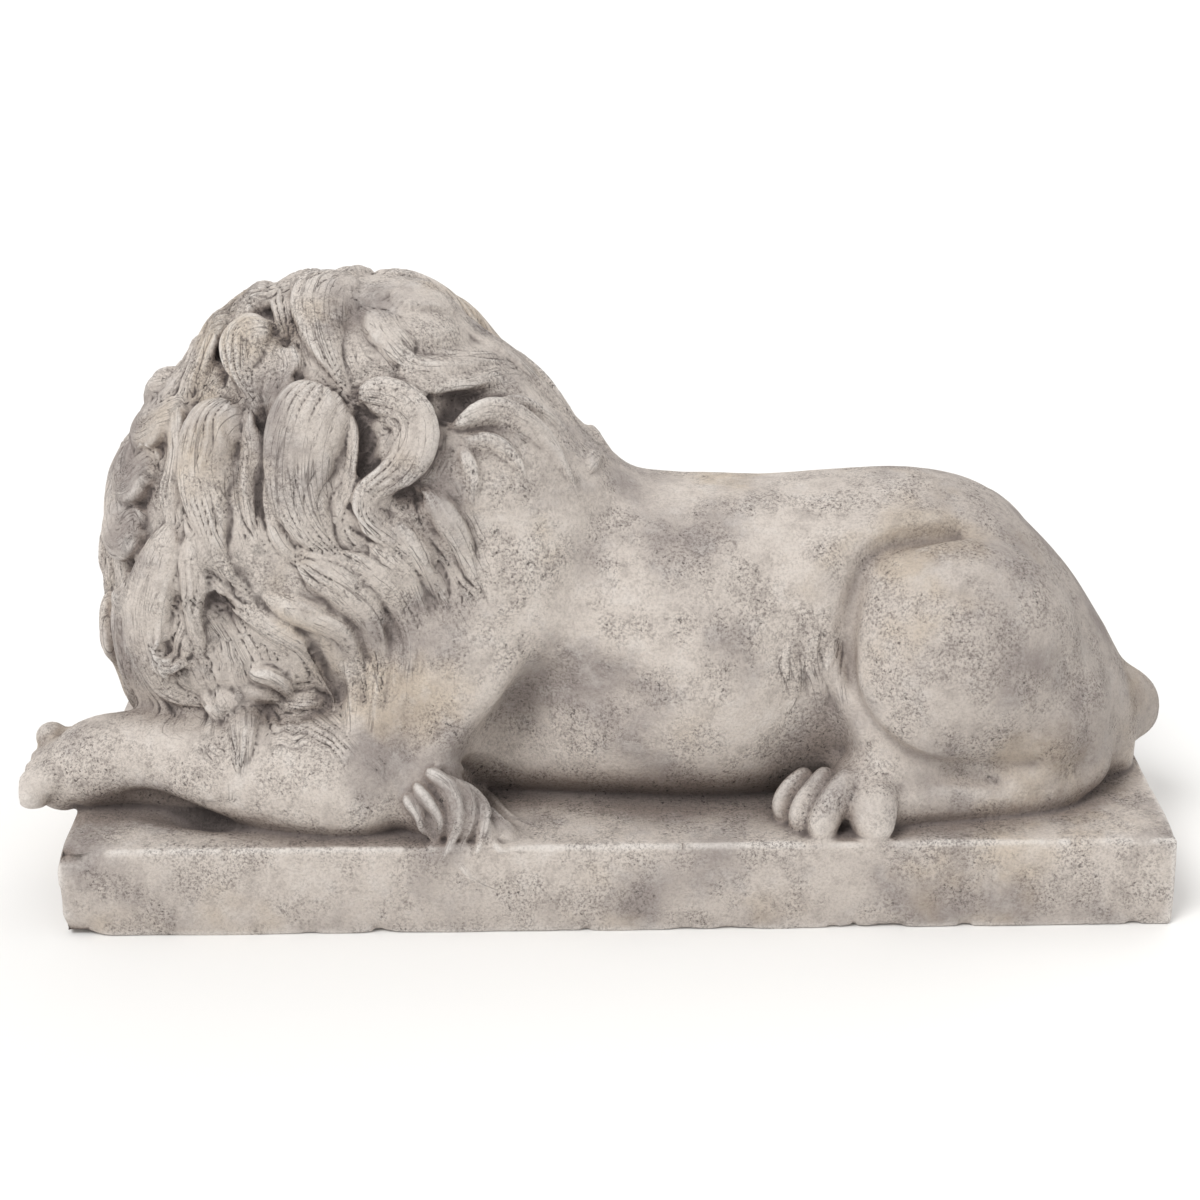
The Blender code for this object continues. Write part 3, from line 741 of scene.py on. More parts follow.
@dataclass
class Foreleg:
    """One foreleg, stretched out along the plinth."""

    elbow: tuple[float, float, float]
    wrist: tuple[float, float, float]
    paw: tuple[float, float, float]
    toe_drop: float

    def forms(self) -> list[Form]:
        """Make shoulder, upper arm, forearm and paw: four eggs and two swept ovals.

        Returns:
            The forms.
        """
        side = math.copysign(1, self.elbow[1])
        elbow, wrist, paw = (np.array(place) for place in (self.elbow, self.wrist, self.paw))
        first, second = elbow + (wrist - elbow) / 3, elbow + (wrist - elbow) * 2 / 3
        back_of_paw = wrist * 0.4 + paw * 0.6
        return [
            ball((-9.4, 6.6 * side, 25.6), (8.4, 5.8, 10.4), lean=20),
            ball((-13.4, 8.5 * side, 18.8), (7.4, 5.4, 9.2), lean=28),
            ball((elbow[0] - 1.6, 10.6 * side, 13.4), (5.2, 4.6, 5.0)),
            limb(
                [
                    (-8.0, 8.6 * side, 24.6, 2.6, 4.6),
                    (-11.6, 10.6 * side, 18.0, 2.8, 3.6),
                    (elbow[0] + 1.2, elbow[1] * 0.96, elbow[2] + 0.6, 2.4, 2.6),
                ],
                rounding=0.15,
            ),
            limb(
                [
                    (elbow[0] + 1.0, elbow[1] * 0.99, elbow[2] - 0.6, 2.4, 3.2),
                    (elbow[0] - 3.0, elbow[1] * 0.98, elbow[2] - 0.2, 3.8, 4.8),
                    (first[0], first[1] * 1.05, first[2], 4.4, 5.2),
                    (second[0], second[1] * 1.06, second[2] - 0.2, 4.0, 4.7),
                    (*wrist, 3.4, 4.0),
                    (back_of_paw[0], back_of_paw[1], wrist[2] - 0.5, 4.4, 3.8),
                    (*paw, 4.4, 3.1),
                ],
                rings=40,
                rounding=0.08,
            ),
            ball((paw[0] + 0.4, paw[1], paw[2] + 0.1), (3.6, 4.2, 2.9)),
        ]

    def toes(self) -> list[Form]:
        """Make four toes, each a swept oval that is knotted at its knuckle and swells at its tip.

        Returns:
            The forms.
        """
        made = []
        for spread in (-3.5, -1.2, 1.2, 3.4):
            x, y = self.paw[0], self.paw[1]
            reach = 3.0 - 0.3 * abs(spread)
            made.append(
                limb(
                    [
                        (x + 2.2, y + spread * 0.75, 10.4, 1.3, 1.4),
                        (x + 0.2, y + spread * 0.88, 10.3, 1.6, 1.6),
                        (x - 1.8, y + spread * 0.98, 9.2, 1.45, 1.6),
                        (x - reach, y + spread * 1.05, self.paw[2] - self.toe_drop, 1.75, 1.7),
                    ],
                    rings=20,
                    rounding=0.3,
                )
            )
        return made


@dataclass
class Body:
    """The lion without its head's features and hair."""

    near_foreleg: Foreleg = field(
        default_factory=lambda: Foreleg((-17.6, -13.9, 11.0), (-37.6, -8.6, 11.0), (-46.2, -6.4, 8.7), 1.3)
    )
    far_foreleg: Foreleg = field(
        default_factory=lambda: Foreleg((-16.6, 13.9, 11.0), (-32.4, 9.6, 10.8), (-39.0, 7.6, 9.2), 0.6)
    )
    mane_middle: float = -24.0
    voxel: float = 0.42
    smoothing: int = 36

    def trunk(self) -> Form:
        """Make chest, ribs, waist and rump as one loft: (x, top, half width), all from below the bed.

        Returns:
            The form.
        """
        sections = [
            (-38, 24, 5.5),
            (-32, 30, 8.0),
            (-24, 34, 9.8),
            (-15, 34.8, 11.0),
            (-7, 34.2, 11.6),
            (0, 33.0, 12.6),
            (7, 32.1, 13.3),
            (13, 32.1, 12.5),
            (19, 32.5, 10.9),
            (25, 32.6, 10.7),
            (31, 31.1, 10.9),
            (36, 26.8, 10.1),
            (40, 21.8, 8.5),
            (43, 16.6, 6.0),
            (44.4, 13.5, 4.0),
        ]
        return loft([(x, BED - 2.2, top, half, half) for x, top, half in sections])

    def mane_mass(self) -> Form:
        """Make the mass of the mane under its locks, from the brow to the withers, as one loft.

        Returns:
            The form.
        """
        return loft(
            [
                (-41.8, 13, 27.0, 2.5, 4.5),
                (-40.4, 12, 32.4, 6.2, 7.2),
                (-37.8, 11, 37.6, 9.0, 9.4),
                (-34.0, 10, 42.2, 11.2, 10.8),
                (-29.5, 10, 46.6, 12.4, 11.2),
                (-25.0, 10, 48.3, 12.8, 11.4),
                (-20.0, 12, 48.8, 12.6, 11.8),
                (-15.0, 17, 48.6, 12.2, 12.0),
                (-11.0, 22, 45.2, 11.6, 11.6),
                (-7.0, 26, 41.8, 10.6, 10.6),
                (-3.5, 29, 37.8, 8.4, 8.4),
                (0.0, 30, 34.2, 5.6, 5.6),
                (3.0, 30, 32.0, 2.0, 2.0),
            ],
            squareness=2.1,
        )

    def breast(self) -> Form:
        """Make the stone left standing between the forelegs, under the beard.

        Returns:
            The form.
        """
        return limb(
            [
                (-26, -0.6, 9.0, 7.0, 4.0),
                (-34, -0.6, 9.0, 6.0, 4.0),
                (-40, -0.8, 8.6, 4.4, 3.4),
                (-43.2, -0.8, 7.4, 3.2, 1.8),
            ],
            rounding=0.05,
        )

    def hind_leg(self) -> list[Form]:
        """Make haunch, thigh, hock, heel and foot of the near hind leg.

        Returns:
            The forms.
        """
        return [
            ball((28.2, -8.6, 19.3), (10.2, 7.0, 10.2), lean=8),
            ball((25.0, -10.0, 16.6), (7.2, 5.6, 8.0)),
            ball((34.6, -8.4, 14.0), (6.2, 5.4, 6.8), lean=25),
            ball((38.4, -8.6, 10.6), (3.0, 2.8, 3.6)),
            limb(
                [
                    (39.4, -9.0, 9.2, 2.0, 2.4),
                    (35.0, -10.6, 9.0, 2.6, 2.9),
                    (29.0, -12.1, 8.9, 2.5, 2.7),
                    (24.5, -12.6, 9.3, 3.0, 2.9),
                    (20.8, -13.0, 9.3, 3.4, 3.2),
                    (16.6, -12.5, 8.7, 2.8, 2.6),
                ],
                squareness=2.4,
                rounding=0.12,
            ),
        ]

    def hind_toes(self) -> list[Form]:
        """Make the near hind foot's four toes, fanned towards the plinth's edge.

        Returns:
            The forms.
        """
        toes = [
            ((16.2, -11.4, 10.0), (15.0, -12.4, 9.6), (14.0, -13.0, 8.2), 0.9),
            ((17.6, -12.0, 10.6), (16.5, -13.8, 10.0), (15.3, -14.8, 8.3), 1.05),
            ((19.5, -13.0, 10.9), (18.2, -15.0, 10.3), (16.8, -16.2, 8.4), 1.2),
            ((21.8, -13.4, 10.0), (20.9, -15.4, 10.1), (20.6, -16.4, 9.0), 1.9),
        ]
        return [
            limb(
                [
                    (*knuckle, 0.9 * half, 1.3),
                    (*middle, half, 1.5),
                    (*tip, 1.05 * half, 1.5),
                    (tip[0] - 0.2, tip[1] - 0.3, BED - 0.6, half, 1.3),
                ],
                rings=22,
                rounding=0.2,
            )
            for knuckle, middle, tip, half in toes
        ]

    def tail(self) -> Form:
        """Make the tail: out over the plinth's end, down, and round along the far side.

        Returns:
            The form.
        """
        return limb(
            [
                (38.0, 0.0, 14.5, 3.0, 3.4),
                (43.4, 0.0, 12.0, 3.0, 3.2),
                (44.8, 2.6, 10.2, 2.6, 2.9),
                (42.8, 7.6, 9.2, 2.1, 2.3),
                (36.0, 13.0, 8.9, 1.8, 2.0),
                (27.0, 15.4, 8.9, 1.7, 1.9),
                (20.5, 15.8, 9.2, 2.6, 2.5),
                (14.5, 15.2, 8.8, 1.2, 1.4),
            ],
            rings=70,
            rounding=0.04,
        )

    def folds(self, bed: Bed) -> list[Stroke]:
        """Give the hollows and folds of hide on both flanks.

        Args:
            bed: The smooth body.

        Returns:
            The strokes that carve them.
        """
        strokes = []
        for places, radius, depth in (
            ([(28.0, 29.6), (21.6, 28.6), (19.2, 25.0), (18.8, 19.0), (22.6, 13.8), (31.0, 10.6)], 0.8, 0.9),
            ([(15.0, 26.8), (18.6, 29.2), (22.0, 30.2), (26.0, 30.4)], 1.4, -0.5),
            ([(-1.0, 18.6), (-6.0, 14.0), (-10.6, 10.6)], 3.4, 1.2),
            ([(-5.0, 24.0), (-9.8, 18.4), (-14.4, 13.8)], 1.4, -0.45),
            ([(13.0, 27.0), (14.5, 20.0), (14.5, 13.0)], 3.0, 0.7),
            ([(-2.0, 27.0), (-4.6, 20.0), (-9.0, 15.0)], 2.6, 0.45),
            ([(36.0, 21.0), (38.6, 15.6), (38.0, 11.6)], 1.6, 0.45),
            ([(22.0, 10.9), (28.0, 11.4), (34.0, 11.6)], 0.8, 0.55),
            ([(3.0, 31.0), (8.0, 30.2), (14.0, 30.6)], 3.0, 0.3),
        ):
            for side in Side:
                strokes.append(Stroke(bed.on_side(places, side), radius, depth))
        return strokes

    def elbow_mound(self) -> Form:
        """Make the stone under the tuft of hair at the near elbow, down to the plinth.

        Returns:
            The form.
        """
        return limb(
            [
                (-17.6, -12.8, 10.2, 2.8, 3.0),
                (-14.0, -14.8, 9.6, 3.0, 3.4),
                (-10.8, -15.6, 8.2, 2.4, 2.2),
                (-7.4, -16.2, 6.6, 1.4, 0.9),
            ],
            rounding=0.1,
        )

    def forms(self) -> list[Form]:
        """Gather the body's masses, both sides.

        Returns:
            The forms, to be fused.
        """
        leg, mound = self.hind_leg(), self.elbow_mound()
        return [
            mound,
            mirrored(mound),
            self.trunk(),
            self.mane_mass(),
            *leg,
            *map(mirrored, leg),
            *self.near_foreleg.forms(),
            *self.far_foreleg.forms(),
            self.breast(),
            self.tail(),
        ]

    def toes(self) -> list[Form]:
        """Gather all sixteen toes, and the raised knuckle of the near forepaw.

        Returns:
            The forms.
        """
        hind = self.hind_toes()
        return [
            *hind,
            *map(mirrored, hind),
            *self.near_foreleg.toes(),
            *self.far_foreleg.toes(),
            ball((-47.8, -3.4, 11.0), (1.35, 1.5, 1.3)),
        ]

    def mesh(self) -> bpy.types.Mesh:
        """Fuse the masses and press the folds into them.

        Returns:
            The smooth body.
        """
        made = fused("body", self.forms(), self.voxel, self.smoothing)
        carve(made, self.folds(Bed([form_of(made)], self.mane_middle)))
        return made


# The head. Its own frame is (sideways, forwards, upwards) from the middle of the skull.


@dataclass
class Head:
    """The head inside the mane, turned to the far side."""

    skull: tuple[float, float, float] = (-26.4, 3.6, 34.4)
    forwards: tuple[float, float, float] = (-0.42, 0.9, -0.10)
    voxel: float = 0.28
    smoothing: int = 12

    def axes(self) -> Array:
        """Give the head's sideways, forwards and upwards ways as the rows of one matrix.

        Returns:
            The matrix.
        """
        ahead = unit(np.array(self.forwards))
        sideways = unit(np.cross(ahead, UP))
        return np.stack([sideways, ahead, np.cross(sideways, ahead)])

    def placed(self, points: Array) -> Array:
        """Turn places in the head's frame into places of the figure."""
        return np.array(self.skull) + np.asarray(points, float) @ self.axes()

    def turned(self, form: Form) -> Form:
        """Put a form drawn in the head's frame in its place on the lion."""
        return self.placed(form[0]), form[1]

    def both(self, form: Form) -> list[Form]:
        """Put a form and its twin on the two cheeks."""
        points, triangles = form
        return [self.turned(form), self.turned((points * np.array([-1, 1, 1]), triangles[:, ::-1]))]

    def skull_mass(self) -> Form:
        """Make skull, brow, bridge and jaws as one loft that runs forwards.

        Returns:
            The form, in the head's frame.
        """
        points, triangles = loft(
            [
                (-2, -10.0, 9.0, 8.6, 8.6),
                (3, -10.4, 9.6, 8.8, 8.8),
                (6, -10.2, 9.0, 8.0, 8.0),
                (8, -9.8, 7.2, 6.6, 6.6),
                (9.6, -9.2, 5.0, 5.4, 5.4),
                (11.6, -8.8, 3.6, 4.4, 4.4),
                (14.0, -8.2, 2.4, 3.8, 3.8),
                (15.4, -7.2, 1.2, 3.2, 3.2),
                (16.2, -5.4, -0.6, 2.2, 2.2),
            ],
            squareness=2.2,
        )
        return points[:, [1, 0, 2]], triangles[:, ::-1]

    def masses(self) -> list[Form]:
        """Make the soft masses of the face: bridge, nose, muzzle, chin, cheeks, brows and forehead.

        Returns:
            The forms.
        """
        bridge = limb([(0, 5.0, 8.0, 2.9, 1.9), (0, 9.8, 4.9, 2.5, 1.7), (0, 14.8, 1.6, 2.3, 1.4)], 2.8)
        return [
            self.turned(self.skull_mass()),
            self.turned(bridge),
            self.turned(ball((0, 15.7, 0.4), (2.5, 1.5, 1.5))),
            self.turned(ball((0, 12.7, -8.0), (3.0, 2.9, 2.3))),
            *self.both(ball((2.5, 13.6, -3.1), (3.0, 3.0, 2.9))),
            *self.both(ball((6.0, 5.6, -2.8), (3.4, 4.4, 5.0))),
            *self.both(ball((5.2, 8.2, -0.2), (2.3, 2.2, 1.7))),
            *self.both(ball((2.8, 6.2, 7.2), (3.6, 3.4, 2.7))),
            *self.both(
                limb([(1.6, 10.4, 4.9, 1.2, 1.1), (4.2, 9.9, 6.0, 1.3, 1.1), (7.4, 7.0, 4.7, 1.1, 1.0)])
            ),
        ]

    def cheek_strokes(self, rows: tuple) -> list[Stroke]:
        """Set strokes on one cheek and their twins on the other.

        Args:
            rows: For each stroke its places in the head's frame, its radius and its depth.

        Returns:
            The strokes of both cheeks.
        """
        return [
            Stroke(self.placed(np.array(line) * (cheek, 1, 1)), radius, depth)
            for cheek in (-1, 1)
            for line, radius, depth in rows
        ]

    def mass_strokes(self) -> list[Stroke]:
        """Give the furrow between the brows, the eye sockets and the folds beside the nose.

        Returns:
            The strokes.
        """
        furrow = Stroke(self.placed([(0, 11.6, 5.0), (0, 9.8, 8.0), (0, 7.6, 9.8)]), 0.9, 0.3)
        rows = (
            ([(3.0, 10.2, 2.8), (4.8, 9.2, 2.8)], 1.6, 1.2),
            ([(2.6, 12.2, 0.6), (4.9, 11.2, -1.2), (5.8, 9.4, -4.6)], 0.9, 0.55),
            ([(7.6, 6.8, 2.6), (8.2, 4.2, 1.0)], 1.6, 0.5),
        )
        return [furrow, *self.cheek_strokes(rows)]

    def details(self) -> list[Form]:
        """Make the sharp parts that are fused on last: eyeballs, lids, nose leather, nostrils and ears.

        Returns:
            The forms.
        """
        lids = (
            limb([(2.0, 10.2, 2.0, 0.5, 0.45), (3.8, 10.3, 3.8, 0.55, 0.5), (6.1, 8.4, 2.9, 0.5, 0.45)]),
            limb([(2.0, 10.2, 1.8, 0.45, 0.4), (4.0, 10.1, 1.0, 0.5, 0.4), (6.1, 8.4, 2.5, 0.45, 0.4)]),
        )
        leather = limb([(0, 16.4, 1.5, 2.3, 0.7), (0, 17.1, 0.2, 1.9, 0.9), (0, 16.8, -1.3, 0.7, 0.6)])
        return [
            *self.both(ball((3.9, 8.7, 2.5), (1.7, 1.5, 1.45))),
            *self.both(lids[0]),
            *self.both(lids[1]),
            self.turned(leather),
            *self.both(ball((1.7, 16.3, -0.1), (1.0, 1.1, 1.0))),
            *self.both(ball((10.6, -0.6, 5.6), (2.4, 1.4, 2.6))),
        ]

    def detail_strokes(self) -> list[Stroke]:
        """Give the fine cuts: philtrum, mouth, nostrils, pupils, whisker rows and the ears' hollows.

        Returns:
            The strokes.
        """
        philtrum = Stroke(self.placed([(0, 17.2, -1.0), (0, 16.9, -2.8), (0, 15.8, -5.0)]), 0.4, 0.6)
        rows = (
            ([(0.1, 16.0, -5.0), (2.4, 15.6, -5.9), (4.8, 13.2, -6.2), (6.0, 10.4, -5.4)], 0.5, 1.0),
            ([(1.1, 17.4, -0.4), (1.8, 17.2, 0.1), (2.3, 16.6, 0.2)], 0.42, 0.8),
            ([(3.7, 10.2, 2.6), (4.2, 10.1, 2.6)], 0.5, 0.3),
            ([(2.3, 16.4, -2.2), (4.6, 14.8, -2.4)], 0.28, 0.16),
            ([(2.5, 16.4, -3.2), (4.9, 14.6, -3.5)], 0.28, 0.16),
            ([(2.6, 16.0, -4.2), (4.8, 14.2, -4.5)], 0.28, 0.16),
            ([(10.7, 1.0, 6.2), (10.8, 0.9, 4.8)], 1.2, 1.5),
        )
        return [philtrum, *self.cheek_strokes(rows)]

    def bareness(self, points: Array) -> Array:
        """Tell how far each point lies on the bare face, from 0 among the hair to 1 on the face.

        The face is an oval of half sizes 8.6 and 9.8 in the head's frame, in front of forwards = 4.5.

        Args:
            points: Places of the figure.

        Returns:
            One share a point.
        """
        aside, ahead, above = ((points - np.array(self.skull)) @ self.axes().T).T
        from_middle = np.sqrt((aside / 8.6) ** 2 + ((above + 1.0) / 9.8) ** 2)
        return np.clip((1.08 - from_middle) / 0.16, 0, 1) * np.clip((ahead - 3.6) / 1.8, 0, 1)

    def mesh(self) -> bpy.types.Mesh:
        """Fuse the soft masses and press the sockets into them.

        Returns:
            The smooth head.
        """
        made = fused("head", self.masses(), self.voxel, self.smoothing)
        carve(made, self.mass_strokes())
        return made


# The hair.


# A lock's section: how far its crest leans, how flat it is and how much of it stands off its seat, all as
# shares of its half width or height. Then how soon a bend counts as full, and a strand's width in parts.
CREST_LEAN, FLATTENING, STAND_OFF = 0.42, 0.92, 0.15
BEND_STRENGTH = 22
STRAND_WIDTH = 1.0


@dataclass
class Lock:
    """A tapering lock of hair on the skin, into which strands are combed later."""

    line: Array
    half_width: float
    rise: float = 0.78
    reach: float = 1.1
    fullness: float = 0.62
    combing: float = 1.0
    seats: Array = field(init=False)
    out: Array = field(init=False)
    ahead: Array = field(init=False)
    side: Array = field(init=False)
    spread: Array = field(init=False)
    height: Array = field(init=False)

    def lay(self, bed: Bed, rings: int = 36) -> None:
        """Lay the lock's middle line on the skin.

        The half width at a share s of the way is half_width * sin(pi * s^fullness)^0.9, so the lock
        swells soon after its root and thins out to its tip, and its height follows a like curve.

        Args:
            bed: The skin under it.
            rings: How many places to read along it.
        """
        self.seats, self.out = bed.fitted(spline(self.line, rings))
        self.ahead = unit(np.gradient(self.seats, axis=0))
        self.side = unit(np.cross(self.ahead, self.out))
        along = np.linspace(0.012, 0.988, rings)
        self.spread = self.half_width * np.sin(math.pi * along**self.fullness) ** 0.9
        self.height = self.half_width * self.rise * np.sin(math.pi * along ** (self.fullness - 0.05)) ** 0.95

    def bend(self) -> Array:
        """Tell, at each ring, which way the lock bends: towards its side way (positive) or from it.

        Returns:
            One value a ring, from -1 to 1.
        """
        turning = np.einsum("ij,ij->i", np.gradient(self.ahead, axis=0), self.side)
        even_out(turning, 14)
        return np.tanh(turning * BEND_STRENGTH)

    def form(self, around: int = 22) -> Form:
        """Make the lock's body: half an oval whose crest stands towards the outer side of the bend.

        Args:
            around: How many points each ring has.

        Returns:
            The closed skin.
        """
        turn = np.linspace(0, 2 * math.pi, around, endpoint=False)
        crest = -CREST_LEAN * self.bend()[:, None] * np.maximum(np.sin(turn), 0)
        across = self.spread[:, None] * (np.cos(turn) + crest)
        upward = FLATTENING * self.height[:, None] * (np.sin(turn) + STAND_OFF)
        raised, aside = self.out[:, None] * upward[..., None], self.side[:, None] * across[..., None]
        return skin(self.seats[:, None] + raised + aside)

    def comb(self, points: Array) -> tuple[Array, Array, Array, Array]:
        """Measure points against the lock.

        Each point is measured from the nearest place on the middle line. Within the lock its share of the
        width is its distance aside over the half width there, and beyond it that share goes on growing by
        the full half width.

        Args:
            points: The points to measure.

        Returns:
            How badly each point fits the lock, its share of the width, its distance aside and its
            distance along.
        """
        squared = (
            np.einsum("ij,ij->i", points, points)[:, None]
            - 2 * points @ self.seats.T
            + np.einsum("ij,ij->i", self.seats, self.seats)
        )
        ring = np.argmin(squared, axis=1)
        step = float(np.linalg.norm(np.diff(self.seats, axis=0), axis=1).mean())
        ahead = np.einsum("ij,ij->i", points - self.seats[ring], self.ahead[ring]) / step
        place = np.clip(ring + np.clip(ahead, -0.5, 0.5), 0, len(self.seats) - 1)
        low = np.minimum(place.astype(int), len(self.seats) - 2)
        share = (place - low)[:, None]
        seat, out, side, spread, height = (
            rows[low] * (1 - share) + rows[low + 1] * share
            for rows in (self.seats, self.out, self.side, self.spread[:, None], self.height[:, None])
        )
        spread, height = spread[:, 0], height[:, 0]
        gap = points - seat
        aside, above = np.einsum("ij,ij->i", gap, side), np.einsum("ij,ij->i", gap, out)
        beyond = np.maximum(np.abs(aside) - spread, 0) / self.half_width
        width = np.where(beyond > 0, np.sign(aside) * (1 + beyond), aside / np.maximum(spread, 1e-6))
        surface = FLATTENING * height * (np.sqrt(np.clip(1 - width**2, 0, 1)) + STAND_OFF)
        past_end = np.maximum(np.abs(ahead) - 0.5, 0) * step / self.half_width
        misfit = beyond + 0.35 * np.abs(above - surface) / self.half_width + past_end
        return misfit, width, aside, place * step


@dataclass
class Combed:
    """The hair's own coordinates at every point of the skin."""

    fit: Array
    width: Array
    aside: Array
    along: Array
    lock: Array
    half: Array

    @classmethod
    def by(cls, locks: list[Lock], points: Array) -> Combed:
        """Give each point to the lock that it fits best.

        Args:
            locks: The laid locks.
            points: The skin's points.

        Returns:
            The coordinates, with a fit that falls from 1 on a lock to 0 out of every lock's reach.
        """
        count = len(points)
        best = np.full(count, 1e9)
        rows = {name: np.zeros(count) for name in ("fit", "width", "aside", "along", "lock", "half")}
        for number, lock in enumerate(locks):
            margin = lock.half_width * (1 + lock.reach) + 0.4
            low, high = lock.seats.min(0) - margin, lock.seats.max(0) + margin
            near = np.nonzero(np.all((points > low) & (points < high), axis=1))[0]
            if not len(near):
                continue
            misfit, width, aside, along = lock.comb(points[near])
            closer = misfit < best[near]
            chosen = near[closer]
            best[chosen] = misfit[closer]
            fit = np.clip((lock.reach - misfit) / 0.5, 0, 1) * lock.combing
            for name, values in (("fit", fit), ("width", width), ("aside", aside), ("along", along)):
                rows[name][chosen] = values[closer]
            rows["lock"][chosen] = number
            rows["half"][chosen] = lock.half_width
        return cls(**rows)

    def strands(self) -> Array:
        """Work out the relief of the strands, from 0 in the valleys to 1 on the crests.

        A lock has a whole number of strands across it. Their borders wave along the lock, and each strand
        is a round ridge, |sin(pi * w)|^0.85 for the strand count w, of its own height.

        Returns:
            One height a point.
        """
        count = np.maximum(np.round(2 * self.half / STRAND_WIDTH), 2)
        phase = self.lock * 2.399
        wave = 0.42 * np.sin(self.along * 0.45 + phase) + 0.26 * np.sin(self.along * 1.1 + 2.1 * phase)
        place = (self.width + 0.16 * np.sin(2.6 * self.width + phase)) * 0.5 * count + wave
        strand = np.floor(place)
        tall = 0.5 + 0.5 * np.abs(np.sin(strand * 12.9898 + self.lock * 78.233))
        return np.abs(np.sin(math.pi * place)) ** 0.85 * tall


def s_curve(root: Array, tip: Array, bow: float, curl: float, count: int = 9) -> Array:
    """Draw a cubic Bezier curve whose handles stand aside from its chord.

    Args:
        root: Where it starts.
        tip: Where it ends.
        bow: How far the first handle stands aside, as a share of the chord.
        curl: The same for the second handle.
        count: How many places to read.

    Returns:
        The places on it.
    """
    root, tip = np.asarray(root, float), np.asarray(tip, float)
    aside = np.array([root[1] - tip[1], tip[0] - root[0]])
    first = root + (tip - root) / 3 + aside * bow
    second = tip - (tip - root) / 3 + aside * curl
    t = np.linspace(0, 1, count)[:, None]
    return (1 - t) ** 3 * root + 3 * (1 - t) ** 2 * t * first + 3 * (1 - t) * t**2 * second + t**3 * tip


# Locks of the near side, where the reference view shows them: half width in its pixels, rise as a share
# of the half width, fullness, and the pixels that its middle line passes through, from root to tip.
CREST = (
    (22, 0.8, 0.62, (268, 282), (242, 290), (232, 312), (248, 340)),
    (14, 0.7, 0.62, (334, 276), (298, 276), (272, 288), (262, 304)),
    (17, 0.7, 0.62, (314, 288), (290, 294), (284, 318), (296, 352)),
    (30, 0.75, 0.62, (356, 284), (328, 300), (322, 334), (345, 392)),
    (15, 0.8, 0.62, (212, 320), (198, 340), (194, 362), (206, 388)),
    (23, 0.85, 0.62, (274, 330), (250, 342), (244, 368), (257, 404)),
    (10, 0.7, 0.62, (284, 342), (292, 366), (280, 398)),
    (16, 0.55, 0.62, (368, 312), (392, 340), (430, 366), (514, 366)),
    (11, 0.7, 0.62, (398, 372), (436, 386), (476, 382), (518, 372)),
)
HUMP = (
    (34, 0.2, 0.5, (340, 300), (376, 286), (430, 292), (480, 316)),
    (24, 0.3, 0.5, (396, 304), (436, 298), (466, 310), (488, 338)),
    (16, 0.4, 0.62, (462, 322), (521, 331), (565, 366), (582, 408), (607, 446)),
)
TEMPLE = (
    (25, 0.75, 0.62, (172, 376), (146, 400), (136, 438), (151, 488)),
    (29, 0.75, 0.55, (232, 402), (214, 436), (206, 486), (214, 536), (230, 582)),
    (13, 0.6, 0.62, (250, 412), (256, 450), (250, 492), (256, 542)),
    (37, 0.62, 0.5, (326, 388), (312, 416), (300, 456), (300, 500), (318, 538), (352, 562)),
    (9, 0.8, 0.62, (282, 420), (272, 460), (268, 500), (282, 544), (312, 566)),
    (8, 0.8, 0.62, (350, 404), (356, 440), (350, 486), (336, 520)),
    (
        22, 0.85, 0.47,
        (358, 396), (392, 400), (416, 424), (410, 456), (386, 480),
        (368, 500), (374, 524), (402, 544), (430, 572), (452, 608),
    ),
    (15, 0.85, 0.62, (418, 488), (446, 520), (466, 556), (480, 592)),
    (12, 0.8, 0.62, (396, 520), (420, 556), (440, 600)),
    (16, 0.6, 0.62, (180, 400), (180, 450), (170, 500), (180, 550)),
)
NECK = (
    (13, 1.0, 0.55, (448, 424), (492, 412), (534, 432), (562, 466), (580, 500)),
    (8, 1.0, 0.55, (470, 412), (518, 404), (556, 424), (576, 446)),
    (9, 1.0, 0.62, (462, 440), (494, 444), (516, 462), (528, 482)),
    (8, 1.0, 0.62, (462, 448), (472, 476), (472, 508)),
    (9, 0.6, 0.62, (586, 470), (598, 458), (616, 466)),
)
SHOULDER = (
    (13, 0.65, 0.62, (187, 519), (212, 557), (243, 596), (264, 619)),
    (14, 0.7, 0.62, (212, 576), (230, 602), (262, 622), (298, 646), (322, 680), (332, 712)),
    (19, 0.6, 0.62, (298, 562), (338, 584), (372, 624), (380, 700)),
    (14, 0.7, 0.62, (264, 596), (306, 615), (346, 638), (364, 700)),
    (13, 0.55, 0.62, (300, 552), (346, 566), (388, 592), (410, 640), (408, 700)),
    (14, 0.6, 0.62, (341, 552), (392, 590), (420, 646)),
    (11, 0.6, 0.62, (371, 545), (406, 576), (430, 646)),
    (10, 0.6, 0.62, (348, 660), (354, 694), (350, 730)),
    (9, 0.6, 0.62, (368, 660), (376, 694), (372, 730)),
    (12, 0.7, 0.62, (246, 668), (276, 680), (300, 714)),
    (9, 0.7, 0.62, (242, 690), (268, 697), (293, 716)),
    (17, 0.75, 0.62, (218, 690), (240, 714), (244, 744), (238, 772)),
    (9, 0.7, 0.62, (246, 688), (260, 716), (257, 752)),
)
BREAST = (
    (28, 0.65, 0.62, (174, 526), (160, 570), (150, 612), (152, 654), (172, 692), (218, 706)),
    (20, 0.65, 0.62, (112, 492), (98, 530), (104, 576)),
    (17, 0.65, 0.62, (106, 556), (100, 602), (112, 646)),
    (14, 0.6, 0.62, (118, 596), (122, 650), (136, 704)),
    (18, 0.5, 0.62, (206, 516), (196, 570), (196, 620), (206, 672)),
)
